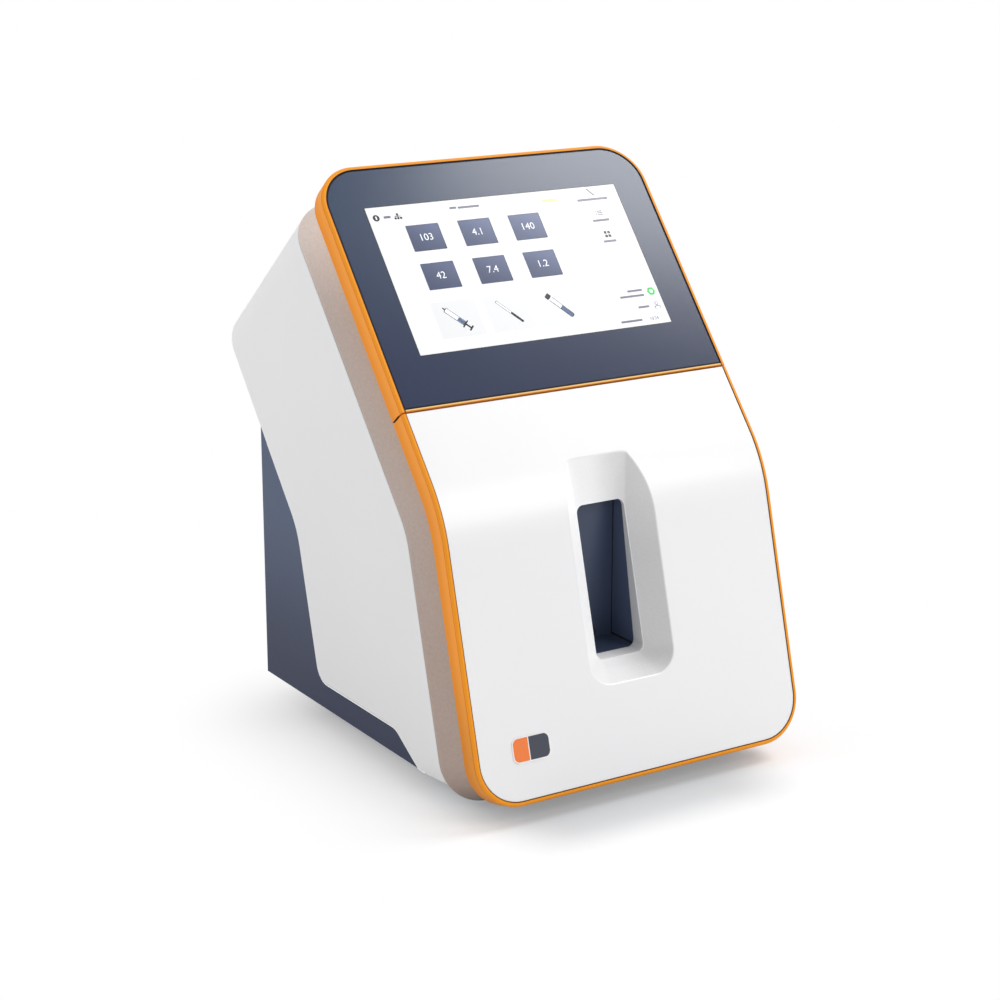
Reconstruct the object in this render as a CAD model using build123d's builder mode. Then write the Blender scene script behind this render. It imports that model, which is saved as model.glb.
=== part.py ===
from build123d import *
import os
from math import cos, radians, sin

os.makedirs("parts", exist_ok=True)

# A bench electrolyte analyzer: a bent slab that leans back, with a touch screen
# above and a hinged door with a flared sample opening below.
# Millimetres, X to the viewer's right, the front towards -Y, Z up from the table.

# Front face: two flat planes that lean back and meet in a bend
lean_up = 40.0
lean_low = 15.1
bend_y = -100.19
bend_z = 152.8
bend_radius = 78.0

# Outline seen square to the face: u runs up each plane from the bend
half_width = 99.5
top_u = 197.6
bottom_u = -147.7
corner = 24.0

# Coloured rim round the face
rim_wall = 2.5
rim_depth = 11.0
rim_bevel = 1.0
line_depth = 1.0
line_width = 0.4
line_cut = 0.3

# Split between the fixed screen above and the door below
glass_low_u = 58.4
bar_width = 1.5
door_gap = 1.0

# Touch screen
glass_thick = 1.8
glass_sink = 0.25
fit = 0.15
ledge_thick = 2.0
frame_land = 7.0
land_corner = 4.0
screen_half = 77.1
screen_tall = 86.2
screen_shift = 2.45
lcd_border = 5.5
lcd_thick = 3.6
board_thick = 1.6
board_margin = 9.0
board_margin_u = 10.35
spacer_tall = 2.4
spacer_radius = 2.6
spacer_inset = 3.0
screen_chips = ((-30.0, 10.0, 22.0, 22.0), (25.0, 18.0, 22.0, 22.0), (10.0, -32.0, 30.0, 8.0),
                (-45.0, -34.0, 30.0, 8.0))
screen_chip_tall = 2.0

# Front carrier: the shoulder behind the rim and the bulkhead
carrier_gap = 0.5
shoulder_back = 36.5
shoulder_inset = 8.0
shoulder_rim = 1.5
carrier_lip = 9.0
bulkhead_thick = 3.0
parting = 0.3

# Rear housing
side_inset = 0.3
shell_wall = 3.0
back_up = 147.5
back_low = 160.5
back_bend = 45.0
skirt_z = 12.4
skirt_step_z = 25.7
skirt_step_front = -51.49
skirt_front = -73.49
skirt_round = 12.0
back_edge = 3.0

# Reach of a cutting shape past the body
beyond = 30.0
beyond_u = top_u + beyond

# Base tray behind and under the housing
base_inset = 1.5
base_back = 95.4
base_floor = 12.4
base_wall = 3.0
base_top = 175.0
base_corner = 1.5
rail_wide = 4.0

# Sample opening in the door
slot_left = -15.0
slot_right = 14.0
slot_low = 66.3
slot_high = 142.5
slot_corner = 4.0
slot_step = 0.5
flare_half = 26.5
flare_low_u = -99.2
flare_high_u = 90.0
flare_deep = 10.6
flare_low_corner = 13.0
flare_high_corner = 11.5
flare_skin = 2.2
tunnel_end_low = -103.89
tunnel_lean = 10.3
panel_thick = 3.0

# Tub behind the opening
tub_play = 0.8
tub_wall = 2.2
tub_back = -82.89
tub_gap = 0.8

# Door hinge
hinge_inset = 4.1
hinge_x = half_width - hinge_inset
hinge_deep = 14.6
pin_radius = 1.5
knuckle_radius = 2.6
pin_play = 0.08
pin_fit = 0.02
door_leaf = 3.4
door_leaf_shift = -0.4
body_leaf = (3.6, 8.0)
knuckle_long = 7.0
knuckle_gap = 0.25
hinge_spots = (-30.0, -112.0)

# Peristaltic pump
pump_u = -38.0
pump_half = 23.0
pump_side = 5.2
pump_thick = 17.0
pump_bore = 18.0
tube_radius = 2.0
roller_radius = 3.5
motor_radius = 17.0
motor_long = 38.0
rotor_shaft = 2.5
run_play = 0.08
valve_size = 11.0
valve_long = 13.5
valve_drop = 15.0

# Sampling probe
probe_x = -0.5
probe_z = 70.0
probe_radius = 0.9
probe_travel = 32.0
probe_seal_radius = 3.5
seal_play = 0.05
needle_play = 0.25
seal_stand = 2.0

# Windows of the bulkhead
window_play = 0.4
pack_low = 22.0
pack_high = 54.4
pack_side = 3.0
pack_front = 15.0
pack_back_y = -18.5
pack_grip = (56.0, 14.0, 10.0)
pack_grip_drop = 2.0
cartridge_high_u = -18.0
cartridge_tall = 57.0
cartridge_gap = 8.0
cartridge_side = 3.0
cartridge_front = 16.0
cartridge_back = 62.0
cartridge_nose = 4.0
cartridge_grip = (30.0, 10.0, 6.0)
cable_window = (28.0, 20.0)

# Door catch: magnets in the door, steel strikes in the carrier
strike_inset = 12.9
strike_x = half_width - strike_inset
strike_radius = 3.4
strike_thick = 1.5
magnet_spots = (-40.0, -105.0)
magnet_radius = 3.0
magnet_thick = 2.0
magnet_play = 0.05

# Feet and base screws
foot_radius = 8.0
foot_inset = 26.0
foot_front = -56.49
foot_back = 71.51
foot_sink = 1.0
screw_radius = 2.8
screw_tall = 1.6
screw_inset = 10.0
screw_mid = 16.0
screw_step = 46.0

# Badge on the door, left plain
badge_side = 32.7
badge_rise = 27.4
badge_x = badge_side - half_width
badge_u = bottom_u + badge_rise
badge_wide = 22.0
badge_tall = 12.9
badge_thick = 0.6
badge_corner = 3.6

# Door liner
liner_thick = 2.4
liner_wall = 3.0
liner_window = 13.5
liner_window_top = 12.0

# Probe frame and drive
frame_wall = 3.0
frame_front = -76.99
frame_back = 1.51
frame_half = 17.0
frame_tall = 24.0
rod_radius = 2.0
rod_spread = 10.0
rod_play = 0.08
carriage_front = -36.49
carriage_long = 14.0
carriage_half = 13.5
carriage_tall = 14.0
drive_size = 28.0
drive_long = 24.0
screw_shaft = 2.0
shaft_play = 0.15

# Rear connectors
rear_play = 0.3
inlet_z = 78.0
inlet_size = (27.6, 20.0)
inlet_flange = (34.0, 26.0)
inlet_long = 24.0
inlet_lip = 1.6
inlet_hollow = (24.2, 16.4, 16.0)
inlet_blade = 13.0
inlet_pin = (2.0, 5.0)
inlet_pin_spots = ((0.0, -2.0), (-7.0, 2.0), (7.0, 2.0))
rocker_z = 105.0
rocker_size = (19.0, 13.0)
rocker_body = 18.0
rocker_throw = 20.0
rocker_pin = 1.2
rocker_play = 0.06
rocker_lip = 1.4
rocker_wall = 1.2
rocker_border = 1.5
rocker_floor = 4.0
rocker_sink = 4.0
rocker_skin = 0.2
rocker_side = ((-7.2, 6.0), (0.0, 4.6), (7.2, 6.0), (5.4, -2.0), (0.0, -3.0), (-5.4, -2.0))
usb_size = (13.2, 14.4)
usb_shifts = (-36.0, -18.0)
lan_size = (16.0, 13.4)
lan_shift = 4.0
port_long = 18.0
port_deep = 12.0
usb_mouth = (12.0, 4.8)
usb_mouth_step = 7.0
lan_mouth = (12.0, 8.0)
lan_notch = (5.0, 2.4)
lan_notch_rise = 4.8

# Vents in the rear wall
vent_at = (-30.0, 95.0)
vent_count = 8
vent_step = 9.0
vent_size = (34.0, 4.0)

# Main board and power supply on the base floor
supply_size = (52.0, 66.0, 34.0)
supply_side = 7.0
supply_shift = 4.0
supply_slot = (36.0, 2.4, 1.2)
supply_slot_step = 6.0
supply_slot_count = 8
main_board_long = 66.0
main_board_side = 5.0
main_board_gap = 14.0
main_board_rise = 4.5
main_chips = ((-20.0, -12.0, 24.0, 24.0), (22.0, -10.0, 14.0, 20.0), (40.0, 10.0, 8.0, 34.0))
chip_tall = 2.5
post_radius = 2.6
post_inset = 5.0

# Places across the base, from its side walls inwards
base_half = half_width - base_inset
main_board_wide = (2 * (base_half - base_wall) - main_board_side - main_board_gap
                   - supply_size[0] - supply_side)
main_board_size = (main_board_wide, main_board_long)
supply_x = base_half - base_wall - supply_side - supply_size[0] / 2
main_board_x = base_wall + main_board_side + main_board_size[0] / 2 - base_half
inlet_x = supply_x
usb_spots = [main_board_x + shift for shift in usb_shifts]
lan_x = main_board_x + lan_shift


def up(u, d):
    """Point of the side view: u up the screen plane, d into the body."""
    t = radians(lean_up)
    return (bend_y + u * sin(t) + d * cos(t), bend_z + u * cos(t) - d * sin(t))


def low(u, d):
    """Point of the side view: u up the door plane, d into the body."""
    t = radians(lean_low)
    return (bend_y + u * sin(t) + d * cos(t), bend_z + u * cos(t) - d * sin(t))


def bend(d):
    """Corner of the side view where both planes meet at depth d."""
    mid = radians((lean_up + lean_low) / 2)
    reach = d / cos(radians((lean_up - lean_low) / 2))
    return (bend_y + reach * cos(mid), bend_z - reach * sin(mid))


def plane_y(lean, z, d):
    """Y at height z on the plane that lies at depth d behind a face plane."""
    t = radians(lean)
    return bend_y + (d + (z - bend_z) * sin(t)) / cos(t)


def leaning(angle, y=bend_y, z=bend_z):
    """Plane across the width that leans back by an angle and faces forward."""
    t = radians(angle)
    return Plane(origin=(0, y, z), x_dir=(1, 0, 0), z_dir=(0, -cos(t), sin(t)))


face_up = leaning(lean_up)
face_low = leaning(lean_low)
up_normal = Axis((0, 0, 0), tuple(face_up.z_dir))
low_normal = Axis((0, 0, 0), tuple(face_low.z_dir))


def corner_of(sketch, point):
    """Vertex of a side view nearest to a point."""
    return sketch.vertices().sort_by_distance((point[0], point[1], 0))[0]


def bent_slab(d0, d1, inset=0.0, half=half_width):
    """Bent slab between two depths, its outline drawn in by an inset."""
    top, bottom = top_u - inset, bottom_u + inset
    with BuildPart() as slab:
        with BuildSketch(Plane.YZ) as side:
            with BuildLine():
                Polyline(bend(d1), up(top, d1), up(top, d0), bend(d0),
                         low(bottom, d0), low(bottom, d1), close=True)
            make_face()
            for depth in (d0, d1):
                if depth < bend_radius:
                    fillet(corner_of(side, bend(depth)), bend_radius - depth)
        extrude(amount=half - inset, both=True)
        ends = slab.edges().filter_by(up_normal) + slab.edges().filter_by(low_normal)
        fillet(ends, corner - inset)
    return slab.part


def front_loop(part):
    """Outer edges of the front face of a bent slab."""
    faces = part.faces().filter_by(
        lambda f: abs(f.center().X) < 1 and f.normal_at(f.center()).Y < -0.5)
    edges = faces.edges()
    across = edges.filter_by(Axis.X).sort_by(Axis.Z)
    return edges.filter_by(Axis.X, reverse=True) + [across[0], across[-1]]


def keep(part, label):
    """Name a finished piece and write it."""
    part.label = label
    export_step(part, "parts/" + label + ".step")


# Rim blank, shared by the screen's frame and the door's frame
with BuildPart() as rim_blank:
    add(bent_slab(0, rim_depth))
    chamfer(front_loop(rim_blank.part), rim_bevel)

line_outer = bent_slab(line_depth, line_depth + line_width, -1.0)
line_inner = bent_slab(line_depth - 1, line_depth + line_width + 1, line_cut)
split_frame = Plane(origin=(0,) + up(glass_low_u - bar_width, 0), x_dir=(1, 0, 0),
                    z_dir=(0, sin(radians(lean_up)), cos(radians(lean_up))))
split_door = split_frame.offset(-door_gap)

with BuildPart() as rim_line:
    add(line_outer)
    add(line_inner, mode=Mode.SUBTRACT)

# Screen frame: rim on three sides, thin bar below, ledge for the glass
glass_high_u = top_u - rim_wall
glass_half = half_width - rim_wall
glass_mid = (glass_low_u + glass_high_u) / 2
glass_tall = glass_high_u - glass_low_u
screen_mid = glass_mid + screen_shift
lcd_wide = 2 * (screen_half + lcd_border)
lcd_tall = screen_tall + 2 * lcd_border
ledge_top = glass_sink + glass_thick
ledge_back = ledge_top + ledge_thick
glass_corner = corner - rim_wall


def glass_outline(play):
    """Glass outline: square corners at the bar, round ones above."""
    with Locations((0, glass_mid)):
        shape = Rectangle(2 * (glass_half - play), glass_tall - 2 * play)
    fillet(shape.vertices().group_by(Axis.Y)[-1], glass_corner - play)


with BuildPart() as display_frame:
    add(rim_blank.part)
    add(rim_line.part, mode=Mode.SUBTRACT)
    split(bisect_by=split_frame, keep=Keep.TOP)
    with BuildSketch(face_up):
        glass_outline(0)
    extrude(amount=-ledge_top, mode=Mode.SUBTRACT)
    with BuildSketch(face_up.offset(-ledge_back)):
        with Locations((0, glass_mid)):
            RectangleRounded(2 * (glass_half - frame_land), glass_tall - 2 * frame_land, land_corner)
    extrude(amount=-rim_depth, mode=Mode.SUBTRACT)
    with BuildSketch(face_up):
        with Locations((0, screen_mid)):
            RectangleRounded(lcd_wide + 2 * fit, lcd_tall + 2 * fit, 2)
    extrude(amount=-rim_depth, mode=Mode.SUBTRACT)
keep(display_frame.part, "display_frame")

with BuildPart() as touch_glass:
    with BuildSketch(face_up.offset(-glass_sink)):
        glass_outline(fit)
    extrude(amount=-glass_thick)
keep(touch_glass.part, "touch_glass")

with BuildPart() as lcd_panel:
    with BuildSketch(face_up.offset(-ledge_top)):
        with Locations((0, screen_mid)):
            RectangleRounded(lcd_wide, lcd_tall, 2 - fit)
    extrude(amount=-lcd_thick)
keep(lcd_panel.part, "lcd_panel")

# Screen board on four spacers behind the ledge
board_wide = 2 * (glass_half - board_margin)
board_tall = glass_tall - 2 * board_margin_u
board_top = ledge_back + spacer_tall
spacer_x = board_wide / 2 - spacer_inset
spacer_u = board_tall / 2 - spacer_inset

with BuildPart() as display_board:
    with BuildSketch(face_up.offset(-board_top)):
        with Locations((0, screen_mid)):
            RectangleRounded(board_wide, board_tall, 3)
    extrude(amount=-board_thick)
    with BuildSketch(face_up.offset(-board_top - board_thick)):
        for chip_x, chip_u, chip_wide, chip_long in screen_chips:
            with Locations((chip_x, screen_mid + chip_u)):
                Rectangle(chip_wide, chip_long)
    extrude(amount=-screen_chip_tall)
keep(display_board.part, "display_board")

with BuildPart() as display_spacers:
    with BuildSketch(face_up.offset(-ledge_back)):
        with Locations((0, screen_mid)):
            with GridLocations(2 * spacer_x, 2 * spacer_u, 2, 2):
                RegularPolygon(spacer_radius, 6)
    extrude(amount=-spacer_tall)
keep(display_spacers.part, "display_spacers")

# Front carrier: sloping shoulder behind the rim, hollow, with a bulkhead
carrier_front = rim_depth + carrier_gap
bulkhead_front = shoulder_back - bulkhead_thick

with BuildPart() as shoulder_blank:
    add(bent_slab(carrier_front, shoulder_back, side_inset))
    chamfer(front_loop(shoulder_blank.part),
            length=shoulder_back - carrier_front - shoulder_rim,
            length2=shoulder_inset - side_inset)

hollow_inset = side_inset + shoulder_inset + carrier_lip
carrier_hollow = bent_slab(carrier_front - 1, bulkhead_front, hollow_inset)
hollow_half = half_width - hollow_inset


def through_low(left, right, low_u, high_u, radius):
    """Rounded window drawn on the door plane."""
    with Locations(((left + right) / 2, (low_u + high_u) / 2)):
        RectangleRounded(right - left, high_u - low_u, radius)


# Tub box, shared by the tub and the window that it passes
tub_left = slot_left - tub_play - tub_wall
tub_right = slot_right + tub_play + tub_wall
tub_low = slot_low - tub_wall
tub_high = slot_high + tub_play + tub_wall
tunnel_plane = leaning(tunnel_lean, tunnel_end_low, slot_low)
tub_mouth = tunnel_plane.offset(-tub_gap)
tub_centre = ((tub_left + tub_right) / 2, (tub_low + tub_high) / 2)
tub_size = (tub_right - tub_left, tub_high - tub_low)

# Fluid pack, cartridge and pump places on the bulkhead
pack_half = hollow_half - pack_side
pump_x = pump_half + pump_side - hollow_half
cartridge_left = tub_right + cartridge_gap
cartridge_right = hollow_half - cartridge_side
cartridge_low_u = cartridge_high_u - cartridge_tall

with BuildPart() as front_carrier:
    add(shoulder_blank.part)
    add(carrier_hollow, mode=Mode.SUBTRACT)
    with BuildSketch(Plane.XZ):
        with Locations(tub_centre):
            Rectangle(tub_size[0] + 2 * window_play, tub_size[1] + 2 * window_play)
        with Locations((0, (pack_low + pack_high) / 2)):
            Rectangle(2 * (pack_half + window_play),
                      pack_high - pack_low + 2 * window_play)
    extrude(amount=-bend_y * 2, mode=Mode.SUBTRACT)
    with BuildSketch(face_low):
        through_low(cartridge_left - window_play, cartridge_right + window_play,
                    cartridge_low_u - window_play, cartridge_high_u + window_play, 3)
        with Locations((pump_x, pump_u)):
            Circle(rotor_shaft + 1.5)
    extrude(amount=-shoulder_back - 1, mode=Mode.SUBTRACT)
    with BuildSketch(face_up):
        with Locations((0, screen_mid)):
            RectangleRounded(cable_window[0], cable_window[1], 4)
    extrude(amount=-shoulder_back - 1, mode=Mode.SUBTRACT)
    with BuildSketch(face_low.offset(-carrier_front)):
        with Locations(*[(-strike_x, u) for u in magnet_spots]):
            Circle(strike_radius + fit)
    extrude(amount=-strike_thick, mode=Mode.SUBTRACT)
keep(front_carrier.part, "front_carrier")

with BuildPart() as strike_plates:
    with BuildSketch(face_low.offset(-carrier_front)):
        with Locations(*[(-strike_x, u) for u in magnet_spots]):
            Circle(strike_radius)
    extrude(amount=-strike_thick)
keep(strike_plates.part, "strike_plates")


def back_corner(d_up, d_low):
    """Corner of the side view where the two back planes meet."""
    t1, t2 = radians(lean_up), radians(lean_low)
    turn = sin(t1 - t2)
    a = (d_low * sin(t1) - d_up * sin(t2)) / turn
    b = (d_low * cos(t1) - d_up * cos(t2)) / turn
    return (bend_y + a, bend_z + b)


def skirt_side(clear=0.0):
    """Side view of the white housing, its lower and back line moved out."""
    front = bend_y - 2 * beyond
    step = skirt_step_z - clear
    floor = skirt_z - clear
    rear = plane_y(lean_low, step, back_low + clear)
    corner_back = back_corner(back_up + clear, back_low + clear)
    with BuildSketch(Plane.YZ) as side:
        with BuildLine():
            Polyline((front, floor), (skirt_front, floor), (skirt_step_front, step),
                     (rear, step), corner_back, up(beyond_u, back_up + clear),
                     up(beyond_u, -beyond), (front, bend_z + top_u), close=True)
        make_face()
        fillet(corner_of(side, (skirt_step_front, step)), skirt_round)
        fillet(corner_of(side, (rear, step)), skirt_round)
        fillet(corner_of(side, corner_back), back_bend)
    return side.sketch


housing_front = shoulder_back + parting
with BuildPart() as housing_blank:
    add(bent_slab(housing_front, back_low + beyond, side_inset))
    extrude(skirt_side(), amount=half_width, both=True, mode=Mode.INTERSECT)
    rear_faces = housing_blank.faces().filter_by(
        lambda f: f.center().Z > bend_z and f.normal_at(f.center()).Y > 0.7)
    fillet(rear_faces.sort_by(SortBy.AREA)[-1].edges().filter_by(
        lambda e: e.center().Z > base_top - 15), back_edge)

# Inside of the housing: walls, floor lip and back all one wall thick
core_front = bend_y - 2 * beyond
core_low = skirt_z + shell_wall
core_rear = base_back + beyond
open_z = base_top - 25.0
with BuildPart() as housing_core:
    add(bent_slab(housing_front - 1, back_low + beyond, side_inset + shell_wall))
    with BuildSketch(Plane.YZ) as core_side:
        with BuildLine():
            Polyline((core_front, core_low), (skirt_front - shell_wall, core_low),
                     (skirt_front - shell_wall, 0), (core_rear, 0), (core_rear, open_z),
                     (plane_y(lean_up, open_z, back_up - shell_wall), open_z),
                     up(beyond_u, back_up - shell_wall), up(beyond_u, -beyond),
                     (core_front, bend_z + top_u), close=True)
        make_face()
    extrude(amount=half_width, both=True, mode=Mode.INTERSECT)

with BuildPart() as rear_housing:
    add(housing_blank.part)
    add(housing_core.part, mode=Mode.SUBTRACT)
keep(rear_housing.part, "rear_housing")

# Base tray: floor, rear wall and the side walls that fill under the housing
base_clear = 0.25
tray_front = skirt_front - 1.0

with BuildPart() as base_blank:
    with BuildSketch(Plane.YZ):
        with BuildLine():
            Polyline((tray_front, base_floor), (base_back, base_floor),
                     (base_back, base_top), (tray_front, base_top), close=True)
        make_face()
    extrude(amount=base_half, both=True)
    fillet(base_blank.edges().filter_by(Axis.Z).group_by(Axis.Y)[-1], base_corner)
    extrude(skirt_side(base_clear), amount=half_width, both=True, mode=Mode.SUBTRACT)

tray_floor_top = base_floor + base_wall
rear_inner = base_back - base_wall
board_z = tray_floor_top + main_board_rise
board_back = rear_inner - 1.0
board_y = board_back - main_board_size[1] / 2
port_low = board_z + board_thick

with BuildPart() as base_tray:
    add(base_blank.part)
    with BuildSketch(Plane.XY.offset(tray_floor_top)):
        with Locations((0, (rear_inner - half_width * 2) / 2)):
            Rectangle(2 * (base_half - base_wall), rear_inner + half_width * 2)
    extrude(amount=base_top, mode=Mode.SUBTRACT)
    with BuildSketch(Plane.XY.offset(tray_floor_top)):
        with Locations((0, (pack_back_y + skirt_step_front) / 2)):
            with GridLocations(pack_half, 1, 2, 1):
                Rectangle(rail_wide, pack_back_y - skirt_step_front)
    extrude(amount=pack_low - tray_floor_top)
    with BuildSketch(Plane.XZ.offset(-base_back - 1)):
        with Locations((inlet_x, inlet_z)):
            Rectangle(inlet_size[0] + 2 * rear_play, inlet_size[1] + 2 * rear_play)
        with Locations((inlet_x, rocker_z)):
            Rectangle(rocker_size[0] + 2 * rear_play, rocker_size[1] + 2 * rear_play)
        with Locations(*[(x, port_low + usb_size[1] / 2) for x in usb_spots]):
            Rectangle(usb_size[0] + 2 * rear_play, usb_size[1] + 2 * rear_play)
        with Locations((lan_x, port_low + lan_size[1] / 2)):
            Rectangle(lan_size[0] + 2 * rear_play, lan_size[1] + 2 * rear_play)
    extrude(amount=base_wall + 2, mode=Mode.SUBTRACT)
    with BuildSketch(Plane.XY.offset(base_floor)):
        with Locations((0, (foot_front + foot_back) / 2)):
            with GridLocations(2 * (base_half - foot_inset), foot_back - foot_front, 2, 2):
                Circle(foot_radius + fit)
    extrude(amount=foot_sink, mode=Mode.SUBTRACT)
    with BuildSketch(Plane.XZ.offset(-base_back - 1)):
        with Locations(vent_at):
            with GridLocations(vent_step, 1, vent_count, 1):
                Rectangle(vent_size[1], vent_size[0])
    extrude(amount=base_wall + 2, mode=Mode.SUBTRACT)
keep(base_tray.part, "base_tray")

with BuildPart() as feet:
    with BuildSketch(Plane.XY):
        with Locations((0, (foot_front + foot_back) / 2)):
            with GridLocations(2 * (base_half - foot_inset), foot_back - foot_front, 2, 2):
                Circle(foot_radius)
    extrude(amount=base_floor + foot_sink)
    chamfer(feet.edges().filter_by(GeomType.CIRCLE).group_by(Axis.Z)[0], 1.0)
keep(feet.part, "feet")

with BuildPart() as base_screws:
    with BuildSketch(Plane.XY.offset(base_floor)):
        with Locations((0, screw_mid)):
            with GridLocations(2 * (base_half - screw_inset), screw_step, 2, 3):
                Circle(screw_radius)
    extrude(amount=-screw_tall)
keep(base_screws.part, "base_screws")

# Door frame: rim on three sides, open at the split
door_core = bent_slab(-1, rim_depth + 1, rim_wall)
with BuildPart() as door_frame:
    add(rim_blank.part)
    add(rim_line.part, mode=Mode.SUBTRACT)
    split(bisect_by=split_door, keep=Keep.BOTTOM)
    add(door_core, mode=Mode.SUBTRACT)
keep(door_frame.part, "door_frame")

# Funnel: one section at the slot and one on the door plane, and those between
slot_sine = flare_deep * sin(radians(lean_low))
slot_low_u = (slot_low - bend_z + slot_sine) / cos(radians(lean_low)) - slot_step
slot_high_u = (slot_high - bend_z + slot_sine) / cos(radians(lean_low)) + slot_step
slot_half = (slot_right - slot_left) / 2 + slot_step


def between(at_face, at_slot, depth):
    """Value at a depth, on the straight line from the face to the slot."""
    return at_face + (at_slot - at_face) * depth / flare_deep


def flare_solid(depths, grow=0.0):
    """Funnel between two depths, grown and pushed deeper to make its skin."""
    with BuildPart() as funnel:
        for depth in depths:
            at = depth - grow
            half = between(flare_half, slot_half, at) + grow
            low_u = between(flare_low_u, slot_low_u, at) - grow
            high_u = between(flare_high_u, slot_high_u, at) + grow
            with BuildSketch(face_low.offset(-depth)) as section:
                with Locations(((slot_left + slot_right) / 2, (low_u + high_u) / 2)):
                    Rectangle(2 * half, high_u - low_u)
                fillet(section.vertices().group_by(Axis.Y)[-1],
                       between(flare_high_corner, slot_corner, at) + grow)
                fillet(section.vertices().group_by(Axis.Y)[0],
                       between(flare_low_corner, slot_corner, at) + grow)
        loft(ruled=True)
    return funnel.part


flare_cavity = flare_solid((-1.0, flare_deep))
flare_body = flare_solid((0.0, flare_deep + flare_skin), flare_skin)
slot_centre = ((slot_left + slot_right) / 2, (slot_low + slot_high) / 2)
slot_wide = slot_right - slot_left
slot_tall = slot_high - slot_low

with BuildPart() as tunnel_skin:
    with BuildSketch(Plane.XZ):
        with Locations(slot_centre):
            RectangleRounded(slot_wide + 2 * flare_skin, slot_tall + 2 * flare_skin,
                             slot_corner + flare_skin)
    extrude(amount=-bend_y * 1.3)
    split(bisect_by=tunnel_plane, keep=Keep.TOP)
    split(bisect_by=face_low.offset(-panel_thick), keep=Keep.BOTTOM)

panel_inset = rim_wall + fit
panel_skin = bent_slab(glass_sink, glass_sink + panel_thick, panel_inset)
panel_inside = bent_slab(glass_sink, flare_deep * 3, panel_inset)

with BuildPart() as door_panel:
    add(flare_body)
    add(tunnel_skin.part)
    add(panel_inside, mode=Mode.INTERSECT)
    add(panel_skin)
    split(bisect_by=split_door, keep=Keep.BOTTOM)
    add(flare_cavity, mode=Mode.SUBTRACT)
    with BuildSketch(Plane.XZ):
        with Locations(slot_centre):
            RectangleRounded(slot_wide, slot_tall, slot_corner)
    extrude(amount=-bend_y * 2, mode=Mode.SUBTRACT)
    with BuildSketch(face_low):
        with Locations((badge_x, badge_u)):
            RectangleRounded(badge_wide + fit, badge_tall + fit, badge_corner + fit / 2)
    extrude(amount=-glass_sink - badge_thick / 2, mode=Mode.SUBTRACT)
keep(door_panel.part, "door_panel")

with BuildPart() as badge_plate:
    with BuildSketch(face_low.offset(-glass_sink - badge_thick / 2)):
        with Locations((badge_x, badge_u)):
            RectangleRounded(badge_wide, badge_tall, badge_corner)
    extrude(amount=badge_thick)
keep(badge_plate.part, "badge_plate")

# Door liner: tray that closes the door's rear, open round the funnel
liner_front = glass_sink + panel_thick
liner_back = rim_depth - 0.1
liner_core = bent_slab(liner_front - 1, liner_back - liner_thick, panel_inset + liner_wall)
liner_blank = bent_slab(liner_front, liner_back, panel_inset)

with BuildPart() as door_liner:
    add(liner_blank)
    add(liner_core, mode=Mode.SUBTRACT)
    split(bisect_by=split_door, keep=Keep.BOTTOM)
    with BuildSketch(face_low):
        through_low(slot_left - liner_window, slot_right + liner_window,
                    flare_low_u - 1, liner_window_top, 8)
    extrude(amount=-shoulder_back, mode=Mode.SUBTRACT)
    with BuildSketch(face_low.offset(-liner_back)):
        with Locations(*[(-strike_x, u) for u in magnet_spots]):
            Circle(magnet_radius + magnet_play)
    extrude(amount=magnet_thick, mode=Mode.SUBTRACT)
keep(door_liner.part, "door_liner")

with BuildPart() as door_magnets:
    with BuildSketch(face_low.offset(-liner_back)):
        with Locations(*[(-strike_x, u) for u in magnet_spots]):
            Circle(magnet_radius)
    extrude(amount=magnet_thick)
keep(door_magnets.part, "door_magnets")


def across_low(x, u, d):
    """Plane square to the door's up direction, its Y pointing into the body."""
    t = radians(lean_low)
    return Plane(origin=(x,) + low(u, d), x_dir=(1, 0, 0), z_dir=(0, sin(t), cos(t)))


# Hinges: two door knuckles round one body knuckle, on a pin
hinge_reach = hinge_deep - rim_depth
knuckle_step = knuckle_long + knuckle_gap
with BuildPart() as door_hinge_leaves:
    for spot in hinge_spots:
        for side in (-1, 1):
            with BuildSketch(across_low(hinge_x, spot + side * knuckle_step - knuckle_long / 2,
                                         hinge_deep)):
                Circle(knuckle_radius)
                with Locations((door_leaf_shift, -hinge_reach / 2)):
                    Rectangle(door_leaf, hinge_reach)
                Circle(pin_radius + pin_play, mode=Mode.SUBTRACT)
            extrude(amount=knuckle_long)
keep(door_hinge_leaves.part, "door_hinge_leaves")

with BuildPart() as body_hinge_leaves:
    for spot in hinge_spots:
        with BuildSketch(across_low(hinge_x, spot - knuckle_long / 2, hinge_deep)):
            Circle(knuckle_radius)
            with Locations((-body_leaf[0] / 2, body_leaf[1] / 2)):
                Rectangle(*body_leaf)
            Circle(pin_radius + pin_fit, mode=Mode.SUBTRACT)
        extrude(amount=knuckle_long)
    add(shoulder_blank.part, mode=Mode.SUBTRACT)
keep(body_hinge_leaves.part, "body_hinge_leaves")

pin_long = 3 * knuckle_long + 4 * knuckle_gap
with BuildPart() as hinge_pins:
    for spot in hinge_spots:
        with BuildSketch(across_low(hinge_x, spot - pin_long / 2, hinge_deep)):
            Circle(pin_radius)
        extrude(amount=pin_long)
keep(hinge_pins.part, "hinge_pins")

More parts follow.
